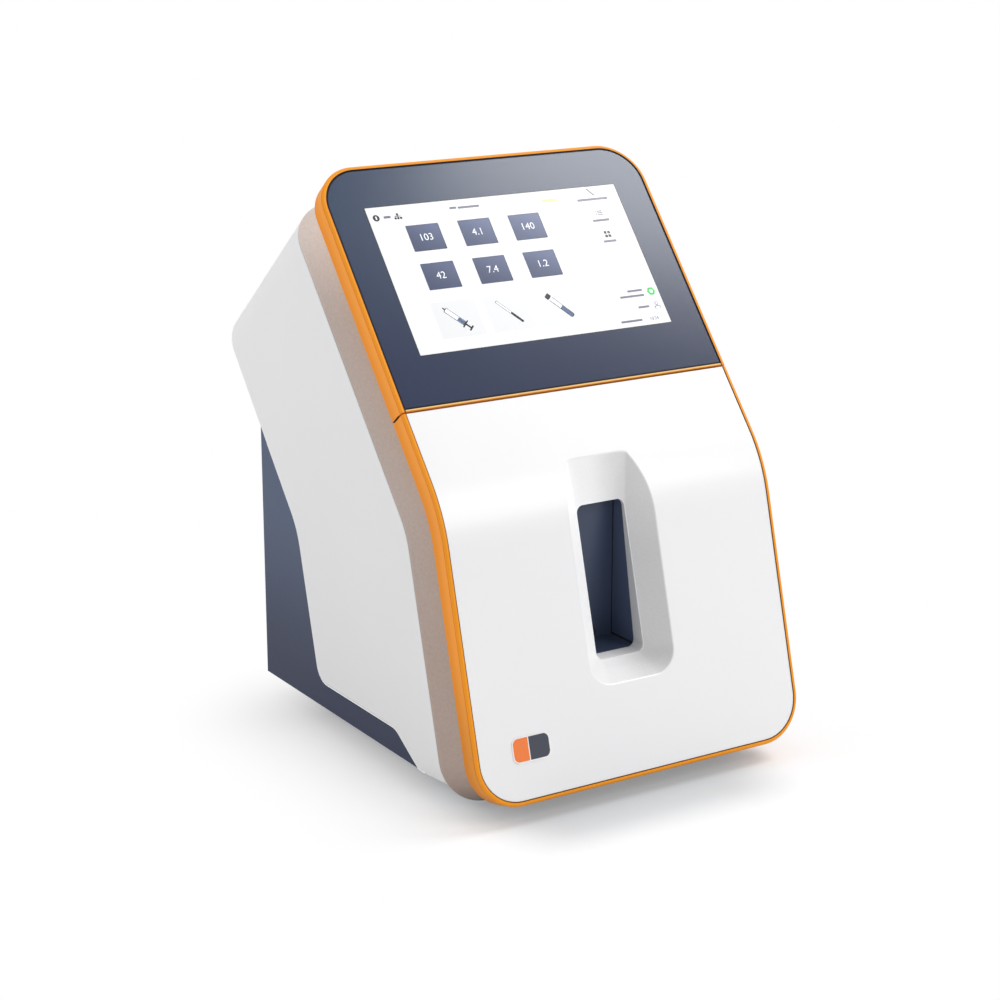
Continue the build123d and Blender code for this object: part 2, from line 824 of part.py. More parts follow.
# Sample bay: tub behind the door's slot with a port for the probe
with BuildPart() as sample_bay:
    with BuildSketch(Plane.XZ.offset(-tub_back - tub_wall)):
        with Locations(tub_centre):
            RectangleRounded(tub_size[0], tub_size[1], 4)
    extrude(amount=2 * beyond)
    with BuildSketch(Plane.XZ.offset(-tub_back)):
        with Locations(tub_centre):
            RectangleRounded(tub_size[0] - 2 * tub_wall, tub_size[1] - 2 * tub_wall, 2)
    extrude(amount=3 * beyond, mode=Mode.SUBTRACT)
    with BuildSketch(Plane.XZ):
        with Locations((probe_x, probe_z)):
            Circle(probe_seal_radius + seal_play)
    extrude(amount=-tub_back + 1, mode=Mode.SUBTRACT)
    split(bisect_by=tub_mouth, keep=Keep.BOTTOM)
keep(sample_bay.part, "sample_bay")

with BuildPart() as probe_seal:
    with BuildSketch(Plane.XZ.offset(-tub_back - tub_wall)):
        with Locations((probe_x, probe_z)):
            Circle(probe_seal_radius)
            Circle(probe_radius + needle_play, mode=Mode.SUBTRACT)
    extrude(amount=tub_wall + seal_stand)
keep(probe_seal.part, "probe_seal")

# Probe frame: shelf, two end plates and rear legs that stand on the base
shelf_z = probe_z - frame_tall / 2
leg_wide = 5.0

with BuildPart() as probe_frame:
    with BuildSketch(Plane.XY.offset(shelf_z - frame_wall)):
        with Locations((probe_x, (frame_front + frame_back) / 2)):
            Rectangle(2 * frame_half, frame_back - frame_front)
    extrude(amount=frame_wall)
    with BuildSketch(Plane.XZ.offset(-frame_front - frame_wall)):
        with Locations((probe_x, probe_z)):
            Rectangle(2 * frame_half, frame_tall)
    extrude(amount=frame_wall)
    with BuildSketch(Plane.XZ.offset(-frame_back)):
        with Locations((probe_x, probe_z)):
            Rectangle(2 * frame_half, frame_tall)
        with Locations((probe_x, (tray_floor_top + shelf_z) / 2)):
            with GridLocations(2 * frame_half - leg_wide, 1, 2, 1):
                Rectangle(leg_wide, shelf_z - tray_floor_top)
    extrude(amount=frame_wall)
    with BuildSketch(Plane.XZ):
        with Locations((probe_x, probe_z)):
            with GridLocations(2 * rod_spread, 1, 2, 1):
                Circle(rod_radius + pin_fit)
            Circle(screw_shaft + shaft_play)
    extrude(amount=-frame_front + 1, mode=Mode.SUBTRACT)
    with BuildSketch(Plane.XZ.offset(-frame_back - 1)):
        with Locations((probe_x, probe_z)):
            with GridLocations(2 * rod_spread, 1, 2, 1):
                Circle(rod_radius + pin_fit)
            Circle(screw_shaft + shaft_play)
    extrude(amount=frame_back + 2, mode=Mode.SUBTRACT)
keep(probe_frame.part, "probe_frame")

with BuildPart() as probe_rods:
    with BuildSketch(Plane.XZ.offset(-frame_back)):
        with Locations((probe_x, probe_z)):
            with GridLocations(2 * rod_spread, 1, 2, 1):
                Circle(rod_radius)
    extrude(amount=frame_back - frame_front)
keep(probe_rods.part, "probe_rods")

with BuildPart() as probe_drive:
    with BuildSketch(Plane.XZ.offset(-frame_back)):
        with Locations((probe_x, probe_z)):
            RectangleRounded(drive_size, drive_size, 4)
            Circle(screw_shaft + shaft_play, mode=Mode.SUBTRACT)
    extrude(amount=-drive_long)
    chamfer(probe_drive.faces().sort_by(Axis.Y)[-1].outer_wire().edges(), 1)
keep(probe_drive.part, "probe_drive")

# Probe carriage with the drive's shaft, and the needle that it carries
shaft_back = frame_back + drive_long + probe_travel + 4
with BuildPart() as probe_carriage:
    with BuildSketch(Plane.XZ.offset(-carriage_front - carriage_long)):
        with Locations((probe_x, probe_z)):
            RectangleRounded(2 * carriage_half, carriage_tall, 2)
    extrude(amount=carriage_long)
    with BuildSketch(Plane.XZ.offset(-shaft_back)):
        with Locations((probe_x, probe_z)):
            Circle(screw_shaft)
    extrude(amount=shaft_back - carriage_front - carriage_long)
    with BuildSketch(Plane.XZ):
        with Locations((probe_x, probe_z)):
            with GridLocations(2 * rod_spread, 1, 2, 1):
                Circle(rod_radius + rod_play)
    extrude(amount=-carriage_front * 2, mode=Mode.SUBTRACT)
    with BuildSketch(Plane.XZ.offset(-carriage_front - carriage_long / 2)):
        with Locations((probe_x, probe_z)):
            Circle(probe_radius + pin_fit)
    extrude(amount=carriage_long, mode=Mode.SUBTRACT)
keep(probe_carriage.part, "probe_carriage")

needle_tip = tub_back - 0.5
with BuildPart() as probe_needle:
    with BuildSketch(Plane.XZ.offset(-carriage_front - carriage_long / 2)):
        with Locations((probe_x, probe_z)):
            Circle(probe_radius)
            Circle(probe_radius / 2, mode=Mode.SUBTRACT)
    extrude(amount=carriage_front + carriage_long / 2 - needle_tip)
keep(probe_needle.part, "probe_needle")

# Peristaltic pump on the bulkhead: body, cover, rotor, tube and motor
pump_front = bulkhead_front - pump_thick
pump_floor = 4.0
tube_path_radius = pump_bore - tube_radius - fit
lobe_reach = tube_path_radius - tube_radius - 0.4
pump_at = (pump_x, pump_u)

with BuildPart() as pump_body:
    with BuildSketch(face_low.offset(-bulkhead_front)):
        with Locations(pump_at):
            RectangleRounded(2 * pump_half, 2 * pump_half, 4)
            Circle(rotor_shaft + 1.0, mode=Mode.SUBTRACT)
    extrude(amount=pump_thick)
    with BuildSketch(face_low.offset(-bulkhead_front + pump_floor)):
        with Locations(pump_at):
            Circle(pump_bore)
        with Locations((pump_x, pump_u - pump_half)):
            Rectangle(2 * pump_bore, 2 * pump_half)
    extrude(amount=pump_thick, mode=Mode.SUBTRACT)
keep(pump_body.part, "pump_body")

with BuildPart() as pump_cover:
    with BuildSketch(face_low.offset(-pump_front)):
        with Locations(pump_at):
            RectangleRounded(2 * pump_half, 2 * pump_half, 4)
            Circle(rotor_shaft + 2.0, mode=Mode.SUBTRACT)
    extrude(amount=1.5)
keep(pump_cover.part, "pump_cover")

rotor_front = pump_front + 1.0
rotor_back = bulkhead_front - pump_floor - 0.6
with BuildPart() as pump_rotor:
    with BuildSketch(face_low.offset(-rotor_back)):
        with Locations(pump_at):
            Circle(lobe_reach * 0.62)
            with PolarLocations(lobe_reach - roller_radius, 3):
                Circle(roller_radius)
            with PolarLocations((lobe_reach - roller_radius) / 2, 3):
                Rectangle(lobe_reach - roller_radius, 2 * roller_radius)
    extrude(amount=rotor_back - rotor_front)
    with BuildSketch(face_low.offset(-shoulder_back - motor_long / 3)):
        with Locations(pump_at):
            Circle(rotor_shaft)
    extrude(amount=shoulder_back + motor_long / 3 - rotor_front + 2)
keep(pump_rotor.part, "pump_rotor")

tube_deep = (rotor_front + rotor_back) / 2
valve_u = pump_u - pump_half - valve_drop
leg_low = valve_u + valve_size / 2 + 0.1
with BuildPart() as pump_tube:
    with BuildLine(face_low.offset(-tube_deep)) as tube_path:
        right = pump_x + tube_path_radius
        left = pump_x - tube_path_radius
        Line((right, leg_low), (right, pump_u))
        JernArc((right, pump_u), (0, 1), tube_path_radius, 180)
        Line((left, pump_u), (left, leg_low))
    with BuildSketch(across_low(right, leg_low, tube_deep)):
        Circle(tube_radius)
    sweep(path=tube_path.wires()[0])
keep(pump_tube.part, "pump_tube")

with BuildPart() as pump_motor:
    with BuildSketch(face_low.offset(-shoulder_back)):
        with Locations(pump_at):
            Circle(motor_radius)
    extrude(amount=-motor_long)
    chamfer(pump_motor.edges().filter_by(GeomType.CIRCLE), 1)
    with BuildSketch(face_low.offset(-shoulder_back)):
        with Locations(pump_at):
            Circle(rotor_shaft + run_play)
    extrude(amount=-motor_long / 2, mode=Mode.SUBTRACT)
keep(pump_motor.part, "pump_motor")

# Pinch valves at the tube's ends
with BuildPart() as pinch_valves:
    with BuildSketch(face_low.offset(-bulkhead_front)):
        with Locations((pump_x, valve_u)):
            with GridLocations(2 * tube_path_radius, 1, 2, 1):
                RectangleRounded(valve_size, valve_size, 1.5)
    extrude(amount=valve_long)
    with BuildSketch(face_low.offset(-bulkhead_front + valve_long)):
        with Locations((pump_x, valve_u)):
            with GridLocations(2 * tube_path_radius, 1, 2, 1):
                Circle(valve_size / 4)
    extrude(amount=2)
keep(pinch_valves.part, "pinch_valves")

# Sensor cartridge through its window, with a pull tab and a shelf lip
cartridge_mid = ((cartridge_left + cartridge_right) / 2,
                 (cartridge_low_u + cartridge_high_u) / 2)
cartridge_wide = cartridge_right - cartridge_left
with BuildPart() as sensor_cartridge:
    with BuildSketch(face_low.offset(-cartridge_back)):
        with Locations(cartridge_mid):
            RectangleRounded(cartridge_wide, cartridge_tall, 2.5)
    extrude(amount=cartridge_back - cartridge_front - cartridge_nose)
    with BuildSketch(face_low.offset(-cartridge_front - cartridge_nose)):
        with Locations(cartridge_mid):
            RectangleRounded(cartridge_wide - 6, cartridge_tall - 6, 4)
    extrude(amount=cartridge_nose, taper=20)
    with BuildSketch(face_low.offset(-cartridge_front)):
        with Locations((cartridge_mid[0], cartridge_mid[1] - cartridge_tall / 4)):
            SlotOverall(cartridge_grip[0], cartridge_grip[1])
    extrude(amount=-cartridge_grip[2], mode=Mode.SUBTRACT)
keep(sensor_cartridge.part, "sensor_cartridge")

# Fluid pack: wide box low in the body, its front parallel to the door
with BuildPart() as fluid_pack:
    with BuildSketch(Plane.XZ.offset(-pack_back_y)):
        with Locations((0, (pack_low + pack_high) / 2)):
            RectangleRounded(2 * pack_half, pack_high - pack_low, 3)
    extrude(amount=5 * beyond)
    split(bisect_by=face_low.offset(-pack_front), keep=Keep.BOTTOM)
    with BuildSketch(face_low.offset(-pack_front)):
        with Locations((0, (pack_low + pack_high) / 2 - bend_z - pack_grip_drop)):
            SlotOverall(pack_grip[0], pack_grip[1])
    extrude(amount=-pack_grip[2], mode=Mode.SUBTRACT)
keep(fluid_pack.part, "fluid_pack")

# Main board on posts, with the rear connectors at its edge
post_x = main_board_size[0] / 2 - post_inset
post_y = main_board_size[1] / 2 - post_inset

with BuildPart() as board_posts:
    with BuildSketch(Plane.XY.offset(tray_floor_top)):
        with Locations((main_board_x, board_y)):
            with GridLocations(2 * post_x, 2 * post_y, 2, 2):
                RegularPolygon(post_radius, 6)
    extrude(amount=main_board_rise)
keep(board_posts.part, "board_posts")

with BuildPart() as main_board:
    with BuildSketch(Plane.XY.offset(board_z)):
        with Locations((main_board_x, board_y)):
            RectangleRounded(main_board_size[0], main_board_size[1], 2)
    extrude(amount=board_thick)
    with BuildSketch(Plane.XY.offset(port_low)):
        for chip_x, chip_y, chip_wide, chip_long in main_chips:
            with Locations((main_board_x + chip_x, board_y + chip_y)):
                Rectangle(chip_wide, chip_long)
    extrude(amount=chip_tall)
keep(main_board.part, "main_board")

with BuildPart() as usb_ports:
    for x in usb_spots:
        with BuildSketch(Plane.XZ.offset(-base_back)):
            with Locations((x, port_low + usb_size[1] / 2)):
                Rectangle(*usb_size)
        extrude(amount=port_long)
        with BuildSketch(Plane.XZ.offset(-base_back)):
            with Locations((x, port_low + usb_size[1] / 2)):
                with GridLocations(1, usb_mouth_step, 1, 2):
                    Rectangle(*usb_mouth)
        extrude(amount=port_deep, mode=Mode.SUBTRACT)
keep(usb_ports.part, "usb_ports")

with BuildPart() as network_port:
    with BuildSketch(Plane.XZ.offset(-base_back)):
        with Locations((lan_x, port_low + lan_size[1] / 2)):
            Rectangle(*lan_size)
    extrude(amount=port_long)
    with BuildSketch(Plane.XZ.offset(-base_back)):
        with Locations((lan_x, port_low + lan_size[1] / 2)):
            Rectangle(*lan_mouth)
            with Locations((0, lan_notch_rise)):
                Rectangle(*lan_notch)
    extrude(amount=port_deep, mode=Mode.SUBTRACT)
keep(network_port.part, "network_port")

with BuildPart() as power_supply:
    with BuildSketch(Plane.XY.offset(tray_floor_top)):
        with Locations((supply_x, board_y - supply_shift)):
            RectangleRounded(supply_size[0], supply_size[1], 1.5)
    extrude(amount=supply_size[2])
    with BuildSketch(Plane.XY.offset(tray_floor_top + supply_size[2])):
        with Locations((supply_x, board_y - supply_shift)):
            with GridLocations(1, supply_slot_step, 1, supply_slot_count):
                Rectangle(supply_slot[0], supply_slot[1])
    extrude(amount=-supply_slot[2], mode=Mode.SUBTRACT)
keep(power_supply.part, "power_supply")

with BuildPart() as power_inlet:
    with BuildSketch(Plane.XZ.offset(-base_back)):
        with Locations((inlet_x, inlet_z)):
            RectangleRounded(inlet_size[0], inlet_size[1], 1)
    extrude(amount=inlet_long)
    with BuildSketch(Plane.XZ.offset(-base_back)):
        with Locations((inlet_x, inlet_z)):
            RectangleRounded(inlet_flange[0], inlet_flange[1], 2)
    extrude(amount=-inlet_lip)
    with BuildSketch(Plane.XZ.offset(-base_back - inlet_lip)):
        with Locations((inlet_x, inlet_z)):
            RectangleRounded(inlet_hollow[0], inlet_hollow[1], 3)
    extrude(amount=inlet_hollow[2], mode=Mode.SUBTRACT)
    with BuildSketch(Plane.XZ.offset(-base_back - inlet_lip + inlet_hollow[2] + 1)):
        with Locations((inlet_x, inlet_z)):
            with Locations(*inlet_pin_spots):
                Rectangle(*inlet_pin)
    extrude(amount=-inlet_blade)
keep(power_inlet.part, "power_inlet")

# Rocker switch: frame in the rear wall and a rocker on its own pins
rocker_axis_y = base_back - rocker_sink
cavity_tall = rocker_size[1] - 2 * rocker_wall
with BuildPart() as switch_frame:
    with BuildSketch(Plane.XZ.offset(-base_back)):
        with Locations((inlet_x, rocker_z)):
            RectangleRounded(rocker_size[0], rocker_size[1], 0.6)
    extrude(amount=rocker_body)
    with BuildSketch(Plane.XZ.offset(-base_back)):
        with Locations((inlet_x, rocker_z)):
            RectangleRounded(rocker_size[0] + 2 * rocker_border, rocker_size[1] + 2 * rocker_border, 1.5)
    extrude(amount=-rocker_lip)
    with BuildSketch(Plane.XZ.offset(-base_back - rocker_lip)):
        with Locations((inlet_x, rocker_z)):
            Rectangle(rocker_size[0] - 2 * rocker_wall, cavity_tall)
    extrude(amount=rocker_body - rocker_floor, mode=Mode.SUBTRACT)
    with BuildSketch(Plane.XY.offset(rocker_z - rocker_size[1] / 2 + rocker_skin)):
        with Locations((inlet_x, rocker_axis_y)):
            Circle(rocker_pin + rocker_play)
    extrude(amount=rocker_size[1] - 2 * rocker_skin, mode=Mode.SUBTRACT)
keep(switch_frame.part, "switch_frame")

tilt = radians(rocker_throw / 2)
rocker_tall = cavity_tall - 1.0
with BuildPart() as switch_rocker:
    with BuildSketch(Plane(origin=(inlet_x, rocker_axis_y, rocker_z - rocker_tall / 2),
                           x_dir=(cos(tilt), sin(tilt), 0), z_dir=(0, 0, 1))):
        with BuildLine():
            Polyline(*rocker_side, close=True)
        make_face()
    extrude(amount=rocker_tall)
    with BuildSketch(Plane.XY.offset(rocker_z - rocker_size[1] / 2 + 2 * rocker_skin)):
        with Locations((inlet_x, rocker_axis_y)):
            Circle(rocker_pin)
    extrude(amount=rocker_size[1] - 4 * rocker_skin)
keep(switch_rocker.part, "switch_rocker")
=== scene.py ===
"""Bench electrolyte analyzer: finishes, screen picture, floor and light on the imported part."""

import math

import bmesh
import bpy
from mathutils import Matrix, Vector


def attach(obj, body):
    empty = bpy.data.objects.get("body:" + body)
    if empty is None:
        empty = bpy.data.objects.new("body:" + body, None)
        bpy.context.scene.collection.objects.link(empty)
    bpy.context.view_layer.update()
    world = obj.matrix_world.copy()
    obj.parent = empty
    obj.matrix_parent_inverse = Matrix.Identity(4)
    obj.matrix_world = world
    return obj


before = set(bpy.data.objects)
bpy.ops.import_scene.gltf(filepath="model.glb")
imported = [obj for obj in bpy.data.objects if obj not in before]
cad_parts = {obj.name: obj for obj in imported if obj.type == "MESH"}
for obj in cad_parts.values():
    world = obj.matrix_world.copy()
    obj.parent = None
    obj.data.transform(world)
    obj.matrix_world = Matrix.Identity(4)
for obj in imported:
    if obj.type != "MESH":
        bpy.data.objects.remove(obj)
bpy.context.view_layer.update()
bpy.context.scene.view_settings.view_transform = "Standard"

# Camera of the photograph
camera_data = bpy.data.cameras.new("camera")
camera_data.lens = 85.36
camera_data.sensor_width = 36.0
camera = bpy.data.objects.new("camera", camera_data)
camera.location = (-0.6585, -1.04209, 0.4790)
camera.rotation_euler = (math.radians(73.8), 0.0, math.radians(-32.2))
bpy.context.scene.collection.objects.link(camera)
bpy.context.scene.camera = camera

# Planes of the face, as the part has them
mm = 0.001
lean_up = math.radians(40.0)
lean_low = math.radians(15.1)
bend_y = -100.19 * mm
bend_z = 152.8 * mm
bend_radius = 78.0 * mm
bend_reach = bend_radius * math.tan((lean_up - lean_low) / 2)

# Rim: its inner outline, with heights up the planes from the bend, and the bar under the glass
inner_half = 97.0 * mm
inner_top = 195.1 * mm
inner_foot = -145.2 * mm
inner_corner = 21.5 * mm
bar_top = 58.4 * mm
bar_foot = bar_top - 2.0 * mm
slit_height = bar_top - 1.7 * mm

# Small plate on the door: its middle, half its width and height, its corners and its divider
badge_x = -66.8 * mm
badge_u = -120.3 * mm
badge_half = 11.0 * mm
badge_half_tall = 6.45 * mm
badge_corner = 3.6 * mm
badge_divider = -1.4 * mm

# Tub: the joint down its rear right corner, and where its right side, painted lighter as painted light,
# starts
joint_left = 13.9 * mm
joint_right = 14.6 * mm
tub_painted_light_side = 14.4 * mm

# Stretches over which a finish changes, some of them its painted light and shade, up a plane from the
# bend
glass_painted_reflection = (60.0 * mm, 200.0 * mm)
rim_shadow = (-60.0 * mm, -130.0 * mm)
funnel_painted_light = (-40.0 * mm, -8.0 * mm)
funnel_painted_shade = (-82.0 * mm, -90.0 * mm)
tile_painted_sheen = (118.0 * mm, 160.0 * mm)

# The same in depth behind the face
funnel_start = (0.35 * mm, 0.9 * mm)
rim_turn = (0.7 * mm, 1.2 * mm)
rim_side = (2.0 * mm, 11.0 * mm)
slit_start = (2.0 * mm, 5.0 * mm)
shoulder_depth = (14.0 * mm, 34.0 * mm)

# The same across the part and in height over the floor
funnel_painted_shade_right = (-9.0 * mm, 13.0 * mm)
case_edge = (78.0 * mm, 79.0 * mm)
shoulder_painted_light = (225.0 * mm, 300.0 * mm)
shoulder_painted_shade = (150.0 * mm, 60.0 * mm)
base_painted_shade = (12.0 * mm, 125.0 * mm)

# Painted highlight line along the shell's border: where it is cut, how thick it is and what it keeps to
line_x = 98.15 * mm
line_radius = 0.3 * mm
line_rear = 95.4 * mm
line_top = 147.0 * mm
line_depth = 37.4 * mm

# Picture on the glass: heights of its layers from the rim's plane, in mm, and how far they overlap
glass_level = -0.27
edge_level = -0.235
white_level = -0.205
tile_level = -0.17
tile_top = -0.155
mark_level = -0.13
figure_level = -0.10
lap = 0.01
tile_levels = (white_level - lap, tile_level)
mark_levels = (tile_level - lap, mark_level)
top_levels = (tile_level - lap, figure_level)

# Picture on the glass: its size and the places of its tiles and boxes, in mm across and up from the bend
picture_spot = (0.0, 129.2)
picture_size = (154.2, 86.2)
picture_border = 1.1
tile_spots = [(x, u) for u in (152.1, 129.3) for x in (-48.3, -17.3, 13.5)]
tile_start = (-57.8, 121.6)
tile_pitch = (30.9, 23.0)
box_spots = ((-48.1, 103.8), (-17.4, 103.8), (13.1, 103.6))
readings = ("103", "4.1", "140", "42", "7.4", "1.2")

# Floor: its size and the painted shadow greys under the rim, each by its middle, the start and the end of
# its fade
floor_size = 24.0
painted_shadow_across = (-0.01, 0.045, 0.10)
painted_shadow_front = (-0.12, 0.03, 0.075)
painted_shadow_under = (-0.105, 0.02, 0.05)

# Floor: the patch that keeps the shadow, by half its size and its middle, and its fade to the backdrop
patch_half = (0.08, 0.10)
patch_y = -0.06
patch_fade = (-0.03, 0.10)

# Light that the floor adds where it is seen, and the world's even light
floor_lift = 0.14
world_level = 0.42
white_light = (1.0, 1.0, 1.0)


def tint(red, green, blue):
    """Linear colour from a colour on the usual scale of 0 to 255."""
    levels = []
    for value in (red, green, blue):
        share = value / 255.0
        levels.append(share / 12.92 if share <= 0.04045 else ((share + 0.055) / 1.055) ** 2.4)
    return tuple(levels)


def plane_rise(y, z, lean):
    """Height up a leaning plane, from the bend. Takes numbers or wires."""
    return (y - bend_y) * math.sin(lean) + (z - bend_z) * math.cos(lean)


def plane_depth(y, z, lean):
    """Depth behind a leaning plane through the bend. Takes numbers or wires."""
    return (y - bend_y) * math.cos(lean) - (z - bend_z) * math.sin(lean)


class Wire:
    """The output socket of a node. Sums on it add Math nodes."""

    def __init__(self, graph, socket):
        self.graph = graph
        self.socket = socket

    def beside(self, output):
        """Another output of the same node."""
        return Wire(self.graph, self.socket.node.outputs[output])

    def sum_of(self, operation, *terms):
        return self.graph.add("ShaderNodeMath", {"operation": operation}, dict(enumerate(terms)))

    def __add__(self, other):
        return self.sum_of("ADD", self, other)

    def __radd__(self, other):
        return self.sum_of("ADD", other, self)

    def __sub__(self, other):
        return self.sum_of("SUBTRACT", self, other)

    def __rsub__(self, other):
        return self.sum_of("SUBTRACT", other, self)

    def __mul__(self, other):
        return self.sum_of("MULTIPLY", self, other)

    def __rmul__(self, other):
        return self.sum_of("MULTIPLY", other, self)

    def __truediv__(self, other):
        return self.sum_of("DIVIDE", self, other)

    def __rtruediv__(self, other):
        return self.sum_of("DIVIDE", other, self)

    def __gt__(self, other):
        return self.sum_of("GREATER_THAN", self, other)

    def __lt__(self, other):
        return self.sum_of("LESS_THAN", self, other)

    def __abs__(self):
        return self.sum_of("ABSOLUTE", self)

    def root(self):
        return self.sum_of("SQRT", self)

    def whole(self):
        return self.sum_of("FLOOR", self)

    def most(self, other):
        return self.sum_of("MAXIMUM", self, other)


def corner_reach(over_x, over_u):
    """Distance from a corner's centre, from how far each way passes it."""
    over_x = over_x.most(0.0)
    over_u = over_u.most(0.0)
    return (over_x * over_x + over_u * over_u).root()


class Graph:
    """A tree of nodes, all added by one method."""

    def __init__(self, tree):
        self.tree = tree

    def add(self, kind, settings=None, inputs=None, output=0):
        """Add a node: its settings, the values or wires of its sockets, and the output to use."""
        node = self.tree.nodes.new(kind)
        for key, value in (settings or {}).items():
            setattr(node, key, value)
        for key, value in (inputs or {}).items():
            socket = node.inputs[key]
            if isinstance(value, Wire):
                self.tree.links.new(value.socket, socket)
            elif isinstance(value, tuple) and len(value) < len(socket.default_value):
                socket.default_value = (*value, 1.0)
            else:
                socket.default_value = value
        return Wire(self, node.outputs[output])

    def show(self, surface):
        """Let a shader be the surface that the tree's output shows."""
        self.tree.links.new(surface.socket, self.tree.get_output_node("ALL").inputs["Surface"])

    def seen(self):
        """1 for the rays that show the backdrop: the camera's, and those that gloss and glass pass on."""
        camera_ray = self.add("ShaderNodeLightPath", output="Is Camera Ray")
        glossy_ray = camera_ray.beside("Is Glossy Ray")
        clear_ray = camera_ray.beside("Is Transmission Ray")
        return camera_ray.most(glossy_ray).most(clear_ray)


class Finish(Graph):
    """One material. Its shader's sockets hold constants, and wires carry what varies."""

    def __init__(self, name, constants=None):
        self.material = bpy.data.materials.new(name)
        self.material.use_nodes = True
        super().__init__(self.material.node_tree)
        self.shader = self.tree.nodes["Principled BSDF"]
        for socket, value in (constants or {}).items():
            self.shader.inputs[socket].default_value = value
        self.spot = self.add("ShaderNodeTexCoord", output="Object")
        self.x = self.add("ShaderNodeSeparateXYZ", None, {0: self.spot})
        self.y = self.x.beside(1)
        self.z = self.x.beside(2)

    def feed(self, socket, wire):
        """Let a wire carry what varies into one of the shader's sockets."""
        self.tree.links.new(wire.socket, self.shader.inputs[socket])

    def noise(self, scale, detail=2.0, stretch=None):
        """Noise about 1, from 0 to 2, at a number of features in a metre."""
        spot = self.spot
        if stretch:
            spot = self.add("ShaderNodeVectorMath", {"operation": "MULTIPLY"}, {0: spot, 1: stretch})
        level = self.add("ShaderNodeTexNoise", None, {"Vector": spot, "Scale": scale, "Detail": detail})
        return level * 2.0

    def cells(self, scale):
        """Distance from the middle of the nearest cell."""
        return self.add("ShaderNodeTexVoronoi", None, {"Vector": self.spot, "Scale": scale}, "Distance")

    def step(self, value, low, high):
        """Smooth step of a value from 0 at low to 1 at high."""
        return self.add("ShaderNodeMapRange", {"interpolation_type": "SMOOTHSTEP"},
                        {0: value, 1: low, 2: high})

    def band(self, value, middle, start, end):
        """1 near a middle, and from a distance start on it fades to 0 at a distance end."""
        return 1.0 - self.step(abs(value - middle), start, end)

    def blend(self, share, first, second):
        """Colour between two colours."""
        return self.add("ShaderNodeMix", {"data_type": "RGBA"}, {0: share, 6: first, 7: second}, 2)

    def shade(self, colour, level):
        """Colour made lighter or darker by a level."""
        return self.add("ShaderNodeVectorMath", {"operation": "SCALE"}, {0: colour, 3: level})

    def relief(self, height, distance):
        """Bump of a height that runs from 0 to 1, over a distance in metres."""
        self.feed("Normal", self.add("ShaderNodeBump", None, {"Height": height, "Distance": distance}))

    def up_u(self):
        """Height up the upper plane, from the bend."""
        return plane_rise(self.y, self.z, lean_up)

    def low_u(self):
        """Height up the lower plane, from the bend."""
        return plane_rise(self.y, self.z, lean_low)

    def rim_reach(self):
        """Distance out over the rim's inner outline, less than nothing inside it."""
        over_x = abs(self.x) - (inner_half - inner_corner)
        over_top = self.up_u() - (inner_top - inner_corner)
        over_foot = (inner_foot + inner_corner) - self.low_u()
        return corner_reach(over_x, over_top.most(over_foot)) - inner_corner

    def face_depth(self):
        """Depth behind the bent face."""
        centre_y = bend_y + bend_reach * math.sin(lean_up) + bend_radius * math.cos(lean_up)
        centre_z = bend_z + bend_reach * math.cos(lean_up) - bend_radius * math.sin(lean_up)
        across = self.y - centre_y
        along = self.z - centre_z
        deep_bend = bend_radius - (across * across + along * along).root()
        deep_up = plane_depth(self.y, self.z, lean_up)
        deep_low = plane_depth(self.y, self.z, lean_low)
        above = self.up_u() > bend_reach
        below = self.low_u() < -bend_reach
        return above * deep_up + below * deep_low + (1.0 - above - below) * deep_bend


def moulded(name, colour, rough, grain, deep, drift, constants=None):
    """Moulded plastic: fine spark texture of a depth in mm, slow changes of shade and gloss."""
    finish = Finish(name, constants)
    slow = finish.noise(11.0, 3.0)
    fine = finish.noise(grain)
    level = 1.0 + (slow - 1.0) * drift + (fine - 1.0) * (drift * 0.5)
    finish.feed("Base Color", finish.shade(colour, level))
    finish.feed("Roughness", rough + (slow - 1.0) * 0.06 + (fine - 1.0) * 0.05)
    finish.relief(fine * 0.5, deep * mm)
    return finish


def gloss_white():
    """Front door panel: glossy white, with duller walls in its opening that carry painted shade, darkest
    at the right and foot and lighter at the top.
    """
    finish = Finish("gloss_white", {"Coat Roughness": 0.12})
    slow = finish.noise(9.0)
    peel = finish.noise(260.0, 1.0)
    fine = finish.noise(1300.0)
    rise = finish.low_u()
    # Painted shade on the opening's walls, which are also duller: darker overall, darkest at the right
    # wall and the foot, lighter at the top
    inside = finish.step(finish.face_depth(), *funnel_start)
    right = finish.step(finish.x, *funnel_painted_shade_right)
    painted_shade_foot = finish.step(rise, *funnel_painted_shade) * (1.0 - right * 0.6)
    painted_light_top = finish.step(rise, *funnel_painted_light)
    grain_and_painted_shade = (fine - 1.0) * 0.06 - 0.015 - right * 0.235 - painted_shade_foot * 0.12 + painted_light_top * 0.06
    level = 1.0 + (slow - 1.0) * 0.02 + inside * grain_and_painted_shade
    finish.feed("Base Color", finish.shade(tint(249, 249, 250), level))
    finish.feed("Roughness", 0.30 + inside * 0.25 + (slow - 1.0) * 0.04 + (peel - 1.0) * 0.02)
    finish.feed("Coat Weight", 0.12 - inside * 0.12)
    finish.relief((peel + inside * fine) * 0.5, 0.006 * mm)
    return finish


